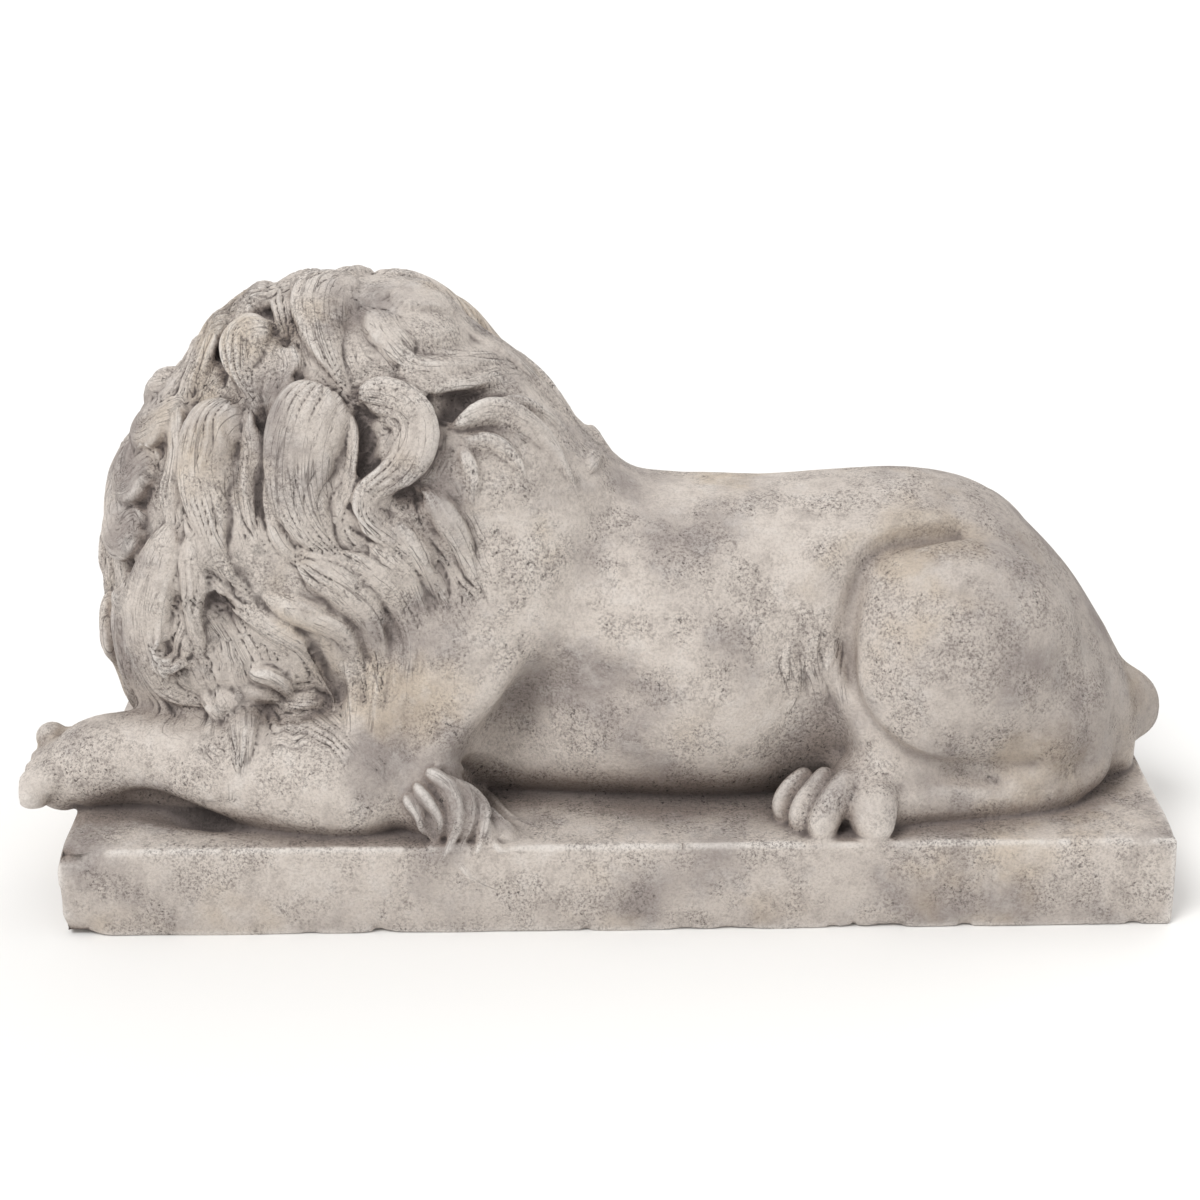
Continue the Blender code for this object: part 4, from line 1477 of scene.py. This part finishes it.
ELBOW = (
    (7, 1.5, 0.5, (406, 794), (418, 812), (426, 830), (434, 846)),
    (7, 1.5, 0.5, (416, 784), (431, 804), (440, 822), (438, 844)),
    (9, 1.5, 0.45, (428, 770), (447, 790), (455, 809), (455, 830), (447, 850), (438, 868)),
    (8, 1.5, 0.45, (440, 778), (461, 796), (468, 812), (466, 834), (458, 852)),
    (8, 1.5, 0.45, (452, 782), (476, 806), (483, 824), (479, 846), (473, 862)),
    (7, 1.5, 0.5, (436, 764), (466, 778), (486, 798), (510, 817), (532, 826)),
    (5, 1.1, 0.5, (464, 792), (488, 812), (508, 824), (524, 832)),
    (5, 1.1, 0.5, (488, 822), (492, 840), (502, 851), (516, 852)),
    (5, 0.8, 0.5, (460, 866), (476, 880), (496, 890)),
)

# The tables above with how far beyond a lock its strands reach, and how strongly it is combed.
NEAR_SIDE = (
    (HUMP, 0.4, 0.35),
    (CREST, 1.2, 1.0),
    (TEMPLE, 1.2, 1.0),
    (NECK, 0.5, 0.8),
    (SHOULDER, 0.5, 1.0),
    (BREAST, 1.2, 0.8),
    (ELBOW, 0.4, 1.0),
)

# Deep cuts between the near side's locks: radius in pixels, depth in grid parts, and their pixels.
CUTS = (
    (9, 0.9, (358, 400), (366, 430), (368, 480), (360, 524)),
    (12, 0.7, (396, 350), (430, 348), (462, 344), (486, 334)),
    (9, 0.7, (434, 394), (466, 400), (514, 394)),
    (10, 0.8, (392, 500), (410, 496), (428, 504), (438, 524)),
    (26, 1.1, (234, 560), (226, 600), (222, 640), (216, 680)),
    (8, 1.1, (258, 404), (264, 430), (258, 470), (262, 524)),
    (8, 1.0, (196, 396), (192, 440), (186, 484)),
    (7, 1.0, (264, 304), (284, 322), (288, 352), (304, 390)),
    (7, 0.9, (222, 318), (226, 350), (222, 390)),
    (9, 0.9, (462, 404), (450, 412), (440, 426)),
    (12, 1.0, (300, 640), (318, 668), (336, 706)),
    (12, 1.2, (118, 800), (150, 800), (190, 812), (240, 827)),
    (26, 1.4, (560, 660), (520, 706), (484, 756)),
)


@dataclass
class Mane:
    """All of the lion's hair: the mane, the tufts at elbows and belly, and the tail's brush."""

    head: Head
    lens: Lens
    grid: Grid
    seed: int = 7
    face_rear: float = -21.0

    def seen(self, bed: Bed, pixels: Array) -> Array:
        """Find the skin under pixels of the reference view."""
        start = self.grid.parts(self.lens.location)
        return np.array([bed.along_ray(start, self.lens.sight(pixel)) for pixel in pixels])

    def parts_per_pixel(self) -> float:
        """Give the size of one pixel of the reference view at the lion's middle, in grid parts."""
        away = abs(self.lens.location[1]) / math.cos(math.radians(self.lens.pitch))
        return away / self.lens.focal_px / self.grid.part

    def near_locks(self, bed: Bed) -> list[Lock]:
        """Lay the locks that the reference view shows.

        Args:
            bed: The skin that they lie on.

        Returns:
            The locks.
        """
        scale = self.parts_per_pixel()
        return [
            Lock(self.seen(bed, pixels), half * scale, rise, reach, fullness, combing)
            for rows, reach, combing in NEAR_SIDE
            for half, rise, fullness, *pixels in rows
        ]

    def cuts(self, bed: Bed) -> list[Stroke]:
        """Cut the deep valleys that the reference view shows.

        Args:
            bed: The skin that they are cut into.

        Returns:
            The strokes that cut them.
        """
        scale = self.parts_per_pixel()
        return [
            Stroke(self.seen(bed, pixels), radius * scale, depth, True) for radius, depth, *pixels in CUTS
        ]

    def far_locks(self, near: list[Lock]) -> list[Lock]:
        """Repeat the near side's neck, shoulder and elbow locks on the far side, behind the face.

        Args:
            near: The near side's locks.

        Returns:
            The twins of those that lie wholly behind the face.
        """
        return [
            Lock(lock.line * np.array([1, -1, 1]), lock.half_width, lock.rise, lock.reach)
            for lock in near
            if lock.line[:, 0].min() > self.face_rear
        ]

    def ring_locks(self) -> list[Lock]:
        """Frame the face with two rings of locks, each swept outwards and hanging a little.

        At the angle a of the ring the line runs from radius start to radius end in the plane of the face,
        steps back by 5.5 parts, sways sideways by a sine, and drops by 3 times its share squared.

        Returns:
            The locks.
        """
        made = []
        rings = ((8.8, 15.0, 3.2, 2.0, 18), (12.4, 20.0, -0.8, 2.3, 20))
        for ring, (start, end, push, width, count) in enumerate(rings):
            angles = np.radians(np.arange(count) * 360 / count + 9 * ring)
            for angle in angles:
                share = np.linspace(0, 1, 6)
                radius = start + (end - start) * share
                bend = 0.16 * np.sin(math.pi * share * 1.6) * (1 if math.sin(2 * angle + ring) > 0 else -1)
                places = np.stack(
                    [
                        np.cos(angle + bend) * radius * 0.95,
                        push - 5.5 * share,
                        np.sin(angle + bend) * radius,
                    ],
                    axis=-1,
                )
                line = self.head.placed(places)
                line[:, 2] -= 3.0 * share**2
                made.append(Lock(line, width, 0.8, 1.4))
        return made

    def hanging_locks(self, bed: Bed, draw: np.random.Generator) -> list[Lock]:
        """Hang rows of locks round the breast and the far cheek, below and before the face.

        Args:
            bed: The skin that they lie on.
            draw: Where their sway and length are drawn from.

        Returns:
            The locks.
        """
        made = []
        rows = (
            (47.5, 40.0, 150, 200),
            (43.0, 34.0, 160, 190),
            (36.0, 26.0, 160, 190),
            (29.0, 18.0, 142, 190),
            (23.0, 12.5, 50, 190),
        )
        for row, (top, bottom, first, last) in enumerate(rows):
            for angle in np.arange(first + 5.5 * (row % 2), last, 11.0):
                share = np.linspace(0, 1, 7)
                swing, sway = draw.uniform(-4, 4), draw.uniform(3, 7) * draw.choice([-1, 1])
                drop = draw.uniform(-1.2, 1.2)
                turns = np.radians(angle + swing * share + 0.6 * sway * np.sin(2 * math.pi * share))
                heights = top + drop + (bottom - top) * share
                line = np.array([bed.around_mane(turn, z) for turn, z in zip(turns, heights)])
                made.append(Lock(line, draw.uniform(1.9, 2.5), 0.7, 1.5))
        return made

    def belly_locks(self, bed: Bed, side: Side) -> list[Lock]:
        """Lay three small tufts on the flank, in front of the thigh.

        Args:
            bed: The skin that they lie on.
            side: The flank to lay them on.

        Returns:
            The tufts.
        """
        places = (
            ((14.6, 22.0), (14.2, 16.0)),
            ((16.4, 22.4), (16.2, 14.6)),
            ((18.0, 21.4), (18.0, 15.0)),
        )
        return [
            Lock(bed.on_side(s_curve(root, tip, -0.2, 0.2), side), 0.8, 0.5, 0.7) for root, tip in places
        ]

    def brush_locks(self) -> list[Lock]:
        """Lay the tail's brush along the plinth.

        Returns:
            Its three locks.
        """
        made = []
        for lean in (-1.2, 0.0, 1.2):
            line = np.array(
                [
                    (24.0, 15.6 + 0.4 * lean, 10.6),
                    (20.0, 16.2 + 0.8 * lean, 11.0 - 0.3 * abs(lean)),
                    (16.0, 15.8 + 0.7 * lean, 10.0),
                    (12.6, 15.2 + 0.2 * lean, 8.0),
                ]
            )
            made.append(Lock(line, 1.3, 0.6, 0.8))
        return made

    def locks(self, bed: Bed) -> list[Lock]:
        """Gather every lock, in a fixed order.

        Args:
            bed: The body and head that the hair lies on, with the plinth.

        Returns:
            The locks.
        """
        near = self.near_locks(bed)
        made = [
            *near,
            *self.far_locks(near),
            *self.ring_locks(),
            *self.hanging_locks(bed, np.random.default_rng(self.seed)),
            *self.belly_locks(bed, Side.NEAR),
            *self.belly_locks(bed, Side.FAR),
            *self.brush_locks(),
        ]
        for lock in made:
            lock.lay(bed)
        return made


# The plinth and the casting as a whole.


@dataclass
class Plinth:
    """The rectangular plinth, its edges worn and chipped."""

    grid: Grid
    edge_wear: float = 0.3
    chip_seed: int = 21
    chips_in_all: int = 70
    share_on_long_edges: float = 0.75

    def form(self) -> Form:
        """Make the block: a rounded box read from polar and turning angles.

        The inner box is half the size less the wear on each side, and each point stands off it by the
        wear along the unit sphere's normal, so that every edge is a quarter round.

        Returns:
            The block.
        """
        half = np.array([self.grid.plinth_length, self.grid.plinth_depth, self.grid.plinth_height]) / 2
        half = half / self.grid.part
        around, rings = 48, 25
        turn = (np.arange(around) + 0.5) * 2 * math.pi / around
        polar = np.linspace(0.0005, math.pi - 0.0005, rings)[:, None]
        polar[rings // 2] = math.pi / 2
        normal = sphere(polar, turn)
        rings_of_points = np.sign(np.round(normal, 6)) * (half - self.edge_wear) + normal * self.edge_wear
        upper = rings_of_points[: rings // 2]
        lower = rings_of_points[rings // 2 + 1 :]
        block = np.concatenate([upper, lower])
        block[..., 2] += BED - half[2]
        return skin(block)

    def chips(self) -> list[Stroke]:
        """Give the plinth's chips: dents by chance along its edges, and the worn corners at the paws.

        Returns:
            The strokes that make them.
        """
        draw = np.random.default_rng(self.chip_seed)
        long, deep = (size / self.grid.part / 2 for size in (self.grid.plinth_length, self.grid.plinth_depth))
        foot = BED - self.grid.plinth_height / self.grid.part
        strokes = []
        for _ in range(self.chips_in_all):
            side, level = draw.choice([-1, 1]), draw.choice([BED, foot])
            if draw.uniform() < self.share_on_long_edges:
                start = np.array([draw.uniform(-long, long), side * deep, level])
                end = start + np.array([draw.uniform(0.4, 2.6), 0, 0])
            else:
                start = np.array([side * long, draw.uniform(-deep, deep), level])
                end = start + np.array([0, draw.uniform(0.4, 1.8), 0])
            strokes.append(
                Stroke(np.array([start, end]), draw.uniform(0.35, 0.8), draw.uniform(0.08, 0.34), True)
            )
        for side in (-1, 1):
            corner = np.array([-long, side * deep, BED])
            for steps, radius, depth, taper in (
                ([(0, 0, 0.2), (2.8, 0, 0.1)], 1.3, 0.55, False),
                ([(0, 0, -7.4), (1.6, 0, -7.6)], 1.3, 0.6, False),
                ([(0, 0, -3.0), (0, 0, -5.6)], 0.8, 0.3, True),
            ):
                strokes.append(Stroke(corner + np.array(steps), radius, depth, taper))
        strokes.append(Stroke(np.array([(-long, -deep, BED), (-long, deep, BED)]), 0.9, 0.3))
        return strokes


@dataclass
class Casting:
    """The whole piece: lion and plinth as they come from the mould, then worn outdoors."""

    grid: Grid
    lens: Lens
    low: Array
    high: Array
    fine_voxel: float = 0.2
    quick_voxel: float = 0.34
    strand_depth: float = 0.27
    strand_middle: float = 0.62
    wear_depth: float = 0.07
    wear_cell: float = 4.2
    shelter_rays: int = 14
    quick_shelter_rays: int = 6
    shelter_reach: float = 9.0
    ray_start: float = 0.08
    ground: float = 0.0006

    def clay(self, head: Head) -> tuple[bpy.types.Mesh, list[Lock]]:
        """Fuse body, head, hair and plinth into one skin on the figure's grid.

        Args:
            head: The head to use.

        Returns:
            The skin and the locks that lie in it.
        """
        body, plinth = Body(), Plinth(self.grid)
        body_form, head_form = form_of(body.mesh()), form_of(head.mesh())
        block = plinth.form()
        bed = Bed([body_form, head_form, block], body.mane_middle)
        mane = Mane(head, self.lens, self.grid)
        locks = mane.locks(bed)
        voxel = self.fine_voxel
        hair = [lock.form() for lock in locks]
        forms = [body_form, head_form, block, *body.toes(), *head.details(), *hair]
        made = largest_skin(fused(NODE, forms, voxel, 3))
        log.info("clay: %d points, %d locks", len(made.vertices), len(locks))
        carve(made, [*mane.cuts(bed), *head.detail_strokes(), *plinth.chips()])
        return made, locks

    def combed(self, mesh: bpy.types.Mesh, locks: list[Lock], head: Head) -> None:
        """Comb strands into the hair, and keep the hair's coordinates in millimetres for the finish.

        Args:
            mesh: The skin, on the figure's grid.
            locks: The locks that lie in it.
            head: The head, whose bare face stays uncombed.
        """
        points, normals = arrays_of(mesh)
        hair = Combed.by(locks, points)
        hair.fit = hair.fit * (1 - head.bareness(points))
        relief = hair.strands()
        patchy = np.clip(0.6 + 0.8 * layered_noise(points, 3.0, 2, 5), 0.15, 1.0)
        depth = self.strand_depth * patchy * np.clip(hair.half / 1.4, 0.4, 1.0)
        points = points + normals * (depth * (relief - self.strand_middle) * hair.fit)[:, None]
        set_points(mesh, points)
        millimetres = self.grid.part * 1000
        for name, values in (
            ("hair_fit", hair.fit),
            ("hair_aside", hair.aside * millimetres),
            ("hair_along", hair.along * millimetres + 91.0 * hair.lock),
        ):
            write_values(mesh, name, values)

    def worn(self, mesh: bpy.types.Mesh) -> None:
        """Wear the skin unevenly: each point moves along its normal by layered noise.

        Args:
            mesh: The skin, on the figure's grid.
        """
        points, normals = arrays_of(mesh)
        wear = self.wear_depth * layered_noise(points, self.wear_cell, 3, 11)
        set_points(mesh, points + normals * wear[:, None])

    def marked(self, mesh: bpy.types.Mesh) -> None:
        """Write how hollow the skin is at each point, for the patina, for painted shade in hollows and for
        painted highlights on ridges.

        Each value is how far a smoothed copy of the skin stands outside it, over a length that fits the
        number of smoothing passes: positive in hollows, negative on ridges.

        Args:
            mesh: The finished skin, still evenly fine.
        """
        points, normals = arrays_of(mesh)
        for name, passes, length in (("crease", 3, 0.05), ("hollow", 22, 0.22), ("dip", 160, 1.1)):
            copy = object_of(mesh.copy())
            soften(copy, passes)
            smooth, _ = arrays_of(evaluated_copy(copy))
            inward = np.einsum("ij,ij->i", smooth - points, normals) / length
            write_values(mesh, name, np.clip(inward, -1, 1))

    def sheltered(self, mesh: bpy.types.Mesh) -> None:
        """Write how sheltered each point is, from 0 in the open to 1 where the skin closes over it, for
        painted shade and the dark patina kept there.

        From each point rays run over the half sphere above the skin, as in a sunflower's seed head: ray k
        of n turns by the golden angle k times, and the sine of its tilt is the root of (k + 0.5) / n. A
        ray that meets the skin at the distance d adds 1 - d / reach, and the sum is shared by all rays.

        Args:
            mesh: The finished skin, on the figure's grid.
        """
        points, normals = arrays_of(mesh)
        triangles = form_of(mesh)[1]
        tree = BVHTree.FromPolygons(points.tolist(), triangles.tolist())
        count = self.shelter_rays
        number = np.arange(count)
        turn, sine = number * math.pi * (3 - math.sqrt(5)), np.sqrt((number + 0.5) / count)
        side = unit(np.cross(normals, np.where(np.abs(normals[:, 2:]) < 0.9, UP, np.array([1.0, 0, 0]))))
        lift = np.cross(normals, side)
        found = np.zeros(len(points))
        starts = [Vector(place) for place in points + self.ray_start * normals]
        for angle, tilt in zip(turn, sine):
            ways = tilt * (math.cos(angle) * side + math.sin(angle) * lift) + math.sqrt(1 - tilt**2) * normals
            for k, (start, way) in enumerate(zip(starts, ways.tolist())):
                distance = tree.ray_cast(start, way, self.shelter_reach)[3]
                if distance is not None:
                    found[k] += 1 - distance / self.shelter_reach
        edges = np.empty(2 * len(mesh.edges), np.int32)
        mesh.edges.foreach_get("vertices", edges)
        one, other = edges.reshape(-1, 2).T
        joined = np.bincount(np.concatenate([one, other]), minlength=len(points))
        for _ in range(3):
            near = np.bincount(one, found[other], len(points)) + np.bincount(other, found[one], len(points))
            found = 0.5 * found + 0.5 * near / np.maximum(joined, 1)
        write_values(mesh, "shelter", found / count)

    def build(self) -> bpy.types.Object:
        """Make the piece, in metres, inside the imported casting's box.

        Returns:
            The finished object.
        """
        head = Head()
        mesh, locks = self.clay(head)
        self.combed(mesh, locks, head)
        self.worn(mesh)
        self.marked(mesh)
        obj = object_of(mesh)
        fewer = obj.modifiers.new("fewer faces", "DECIMATE")
        fewer.ratio = min(1.0, MOST_TRIANGLES / (2 * len(mesh.polygons)))
        mesh = evaluated_copy(obj)
        self.sheltered(mesh)
        points = self.grid.metres(arrays_of(mesh)[0])
        points[:, 2] = np.where(points[:, 2] < self.ground, 0.0, points[:, 2])
        set_points(mesh, np.clip(points, self.low, self.high))
        mesh.name = "carved_lion"
        mesh.shade_smooth()
        return object_of(mesh)


# Finishes.


def linear(code: str) -> tuple[float, float, float, float]:
    """Turn an sRGB hex colour into linear light.

    Args:
        code: Six hex digits.

    Returns:
        Red, green, blue and an alpha of one.
    """
    shares = np.array([int(code[k : k + 2], 16) / 255 for k in (0, 2, 4)])
    light = np.where(shares <= 0.04045, shares / 12.92, ((shares + 0.055) / 1.055) ** 2.4)
    return (*light.tolist(), 1.0)


class Nodes:
    """A material's node tree, built one node at a time."""

    def __init__(self, name: str) -> None:
        """Start a material with a Principled shader.

        Args:
            name: The material's name.
        """
        self.material = bpy.data.materials.new(name)
        self.material.use_nodes = True
        self.tree = self.material.node_tree
        self.shader = self.tree.nodes["Principled BSDF"]

    def add(self, kind: str, inputs: dict | None = None, **settings: object) -> bpy.types.Node:
        """Add a node with its settings, and link or set its inputs.

        Args:
            kind: The node's type, without its ShaderNode prefix.
            inputs: For each input's name or number, a socket to link or a value to set.
            settings: The node's own settings.

        Returns:
            The node.
        """
        node = self.tree.nodes.new("ShaderNode" + kind)
        for key, value in settings.items():
            setattr(node, key, value)
        for key, value in (inputs or {}).items():
            if isinstance(value, bpy.types.NodeSocket):
                self.tree.links.new(value, node.inputs[key])
            else:
                node.inputs[key].default_value = value
        return node

    def ramp(self, value: Socket, low: float, high: float, top: float = 1.0) -> Socket:
        """Stretch a value so that low becomes 0 and high becomes the top, with soft ends."""
        inputs = {"Value": value, "From Min": low, "From Max": high, "To Min": 0.0, "To Max": top}
        return self.add("MapRange", inputs, interpolation_type="SMOOTHSTEP").outputs["Result"]

    def mix(self, share: Socket, under: Socket | tuple[float, ...], over: str) -> Socket:
        """Lay a colour over another by a share."""
        return self.add("Mix", {0: share, 6: under, 7: linear(over)}, data_type="RGBA").outputs[2]

    def math(self, operation: str, *values: Socket | float) -> Socket:
        """Work out one value from others."""
        return self.add("Math", dict(enumerate(values)), operation=operation).outputs[0]

    def times(self, one: Socket, other: Socket | float) -> Socket:
        """Multiply two values."""
        return self.math("MULTIPLY", one, other)

    def noise(self, place: Socket, size_mm: float, detail: float, rough: float = 0.6) -> Socket:
        """Read noise whose broadest features are about the given size."""
        inputs = {"Vector": place, "Scale": 1000 / size_mm, "Detail": detail, "Roughness": rough}
        return self.add("TexNoise", inputs).outputs["Fac"]


@dataclass(frozen=True)
class CastStone:
    """Cast stone: sand and cement from a mould, washed with a dark patina and wiped pale on its ridges.

    The dark patina stays in pores and hollows, the wiping bares pale beige, and years outdoors add grey and
    ochre patches. Shade is also painted dark into the hollows, sheltered places and rump, and highlights pale
    on the crests. It scatters light like dry mortar: a mineral index near 1.5, and no gloss.
    """

    base: str = "DAD0C7"
    # Bare stone where the patina is wiped off, also used as the painted highlight on crests and ridges.
    bare: str = "F2ECE6"
    grey: str = "978D89"
    ochre: str = "CFBCA2"
    brown: str = "8F7D70"
    wash_and_shade: str = "7D736F"
    # Dark patina colour, also used as painted shade in hollows, sheltered places and on the rump.
    deep: str = "453F3D"
    speck: str = "6A615D"
    patch_mm: float = 95.0
    warm_mm: float = 130.0
    coarse_mm: float = 38.4
    mottle_mm: float = 24.0
    stain_mm: float = 5.0
    pit_mm: float = 3.4
    grain_mm: float = 2.3
    strand_mm: float = 5.0
    strand_length_mm: float = 90.0
    relief_m: float = 0.0026
    roughness: float = 0.9
    ior: float = 1.5
    gloss: float = 0.2

    def strand_cuts(self, nodes: Nodes, aside: Socket, along: Socket) -> Socket:
        """Read thin lines along the hair: where noise stretched along the locks passes its middle value.

        Args:
            nodes: The material to add to.
            aside: The distance across a lock, in millimetres.
            along: The distance along it.

        Returns:
            A value that is 1 on a line.
        """
        across = nodes.math("DIVIDE", aside, self.strand_mm)
        down = nodes.math("DIVIDE", along, self.strand_length_mm)
        place = nodes.add("CombineXYZ", {0: across, 1: down}).outputs[0]
        inputs = {"Vector": place, "Scale": 1.0, "Detail": 1.5, "Roughness": 0.5}
        strand = nodes.add("TexNoise", inputs).outputs["Fac"]
        return nodes.ramp(nodes.math("ABSOLUTE", nodes.math("SUBTRACT", strand, 0.5)), 0.026, 0.0)

    def material(self) -> bpy.types.Material:
        """Build the stone, layer over layer.

        Returns:
            The material.
        """
        nodes = Nodes("weathered cast stone")
        ramp, times = nodes.ramp, nodes.times
        place = nodes.add("TexCoord").outputs["Object"]
        names = ("crease", "hollow", "dip", "shelter", "hair_fit", "hair_aside", "hair_along")
        crease, hollow, dip, shelter, hair_fit, aside, along = (
            nodes.add("Attribute", attribute_name=name).outputs["Fac"] for name in names
        )
        shifted = nodes.add("Mapping", {"Vector": place, "Location": (3.1, 1.7, 5.3)}).outputs[0]
        patch = nodes.noise(place, self.patch_mm, 4.0)
        warm = nodes.noise(shifted, self.warm_mm, 3.0)
        mottle = nodes.noise(place, self.mottle_mm, 7.0, 0.7)
        stain = nodes.noise(shifted, self.stain_mm, 5.0, 0.72)
        grain = nodes.noise(place, self.grain_mm, 4.0, 0.75)
        pit = nodes.noise(place, self.pit_mm, 2.0, 0.6)
        coarse = ramp(nodes.noise(shifted, self.coarse_mm, 3.0), 0.40, 0.62)
        # Grit in patches, raised in sheltered places, so the stains, dust and pits it drives add painted
        # shade there.
        rough = nodes.math("ADD", coarse, ramp(shelter, 0.1, 0.5, 0.6))
        cut = times(self.strand_cuts(nodes, aside, along), hair_fit)
        cut = times(cut, ramp(mottle, 0.40, 0.56))
        axes = nodes.add("SeparateXYZ", {"Vector": place}).outputs
        crest, ridge = times(dip, -1.0), times(hollow, -1.0)
        dust_and_shade = nodes.math("MULTIPLY_ADD", rough, 0.42, 0.2)

        colour = linear(self.base)
        for share, over in (
            (ramp(patch, 0.46, 0.66, 0.8), self.grey),
            (ramp(warm, 0.53, 0.68, 0.45), self.ochre),
            (ramp(mottle, 0.48, 0.68, 0.3), self.bare),
            (ramp(mottle, 0.50, 0.32, 0.3), self.wash_and_shade),
            # Darker towards the foot of the plinth, and painted shade that darkens the rump towards the tail.
            (ramp(axes["Z"], 0.075, 0.0, 0.2), self.wash_and_shade),
            (times(ramp(axes["X"], 0.12, 0.42, 0.34), ramp(axes["Z"], 0.08, 0.12)), self.wash_and_shade),
            # Patina wiped pale, with painted highlights, where the skin stands out, and patina left dark,
            # with painted shade, where it lies deep or sheltered.
            (ramp(crest, 0.06, 0.6, 0.75), self.bare),
            (ramp(ridge, 0.08, 0.7, 0.6), self.bare),
            (ramp(shelter, 0.06, 0.45, 0.6), self.brown),
            (ramp(shelter, 0.22, 0.7, 0.7), self.wash_and_shade),
            (ramp(dip, 0.02, 0.5, 0.75), self.wash_and_shade),
            (ramp(hollow, 0.06, 0.6, 0.85), self.wash_and_shade),
            # Small marks: stains, lines in the hair, dirt with painted shade in the creases, dust in the
            # grain and pits. Stains, dust and pits grow heavier in sheltered places, which paints shade
            # there.
            (times(ramp(stain, 0.50, 0.66, 0.5), rough), self.wash_and_shade),
            (times(cut, 0.65), self.speck),
            (ramp(crease, 0.12, 0.8, 0.75), self.deep),
            (times(ramp(grain, 0.44, 0.62), dust_and_shade), self.speck),
            (times(ramp(pit, 0.62, 0.68, 0.7), rough), self.deep),
        ):
            colour = nodes.mix(share, colour, over)

        height = nodes.math("MULTIPLY_ADD", grain, -1.0, times(stain, -0.8))
        for value, share in ((pit, -0.5), (cut, -0.45)):
            height = nodes.math("MULTIPLY_ADD", value, share, height)
        bump = nodes.add("Bump", {"Height": height, "Strength": 0.8, "Distance": self.relief_m})
        nodes.tree.links.new(colour, nodes.shader.inputs["Base Color"])
        nodes.tree.links.new(bump.outputs["Normal"], nodes.shader.inputs["Normal"])
        nodes.shader.inputs["Roughness"].default_value = self.roughness
        nodes.shader.inputs["IOR"].default_value = self.ior
        nodes.shader.inputs["Specular IOR Level"].default_value = self.gloss
        return nodes.material


# The studio.


@dataclass
class Studio:
    """A pale floor, soft light and the camera."""

    lens: Lens
    floor_half: float = 14.0
    paper: str = "F3F2F0"
    sky: str = "FAFAFA"
    sky_strength: float = 0.8

    def floor(self) -> None:
        """Lay a plain pale floor, which is a stage and no part of the statue."""
        half = self.floor_half
        edges = [(-half, -half, 0), (half, -half, 0), (half, half, 0), (-half, half, 0)]
        mesh = bpy.data.meshes.new("floor")
        mesh.from_pydata(edges, [], [(0, 1, 2, 3)])
        floor = object_of(mesh)
        paper = Nodes("matt studio floor")
        paper.shader.inputs["Base Color"].default_value = linear(self.paper)
        paper.shader.inputs["Roughness"].default_value = 0.95
        paper.shader.inputs["Specular IOR Level"].default_value = 0.1
        mesh.materials.append(paper.material)

    def sun(self, name: str, azimuth: float, elevation: float, power: float, width: float) -> None:
        """Hang a far, wide light.

        Args:
            name: The light's name.
            azimuth: Where it stands, from the camera's side (0) towards the tail's end (90), in degrees.
            elevation: How high it stands, in degrees.
            power: Its strength.
            width: How wide it looks, in degrees, which softens its shadows.
        """
        light = bpy.data.lights.new(name, "SUN")
        light.energy = power
        light.angle = math.radians(width)
        obj = bpy.data.objects.new(name, light)
        turn, lift = math.radians(azimuth), math.radians(elevation)
        back = Vector((math.sin(turn) * math.cos(lift), -math.cos(turn) * math.cos(lift), math.sin(lift)))
        obj.rotation_mode = "QUATERNION"
        obj.rotation_quaternion = (-back).to_track_quat("-Z", "Y")
        bpy.context.scene.collection.objects.link(obj)

    def camera(self) -> None:
        """Set the camera up as the reference view was taken."""
        data = bpy.data.cameras.new("camera")
        data.sensor_width = self.lens.sensor
        data.lens = self.lens.focal_px / self.lens.frame_px * self.lens.sensor
        camera = bpy.data.objects.new("camera", data)
        bpy.context.scene.collection.objects.link(camera)
        camera.matrix_world = self.lens.matrix()
        bpy.context.scene.camera = camera

    def build(self) -> None:
        """Set up floor, lights, sky and camera."""
        self.floor()
        self.sun("key", -38, 50, 1.6, 24)
        self.sun("rim", 150, 48, 0.35, 40)
        world = bpy.data.worlds.new("pale studio")
        world.use_nodes = True
        world.node_tree.nodes["Background"].inputs["Color"].default_value = linear(self.sky)
        world.node_tree.nodes["Background"].inputs["Strength"].default_value = self.sky_strength
        bpy.context.scene.world = world
        bpy.context.scene.view_settings.view_transform = "Standard"
        self.camera()


def main() -> None:
    """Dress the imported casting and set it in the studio."""
    logging.basicConfig(level=logging.INFO, format="%(name)s: %(message)s")
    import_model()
    low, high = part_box(NODE)
    lens = Lens()
    statue = Casting(Grid.in_box(low, high), lens, np.array(low), np.array(high)).build()
    statue.data.materials.clear()
    statue.data.materials.append(CastStone().material())
    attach(statue, "root")
    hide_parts(NODE)
    log.info("%s: %d faces", statue.name, len(statue.data.polygons))
    Studio(lens).build()


if __name__ == "__main__":
    main()
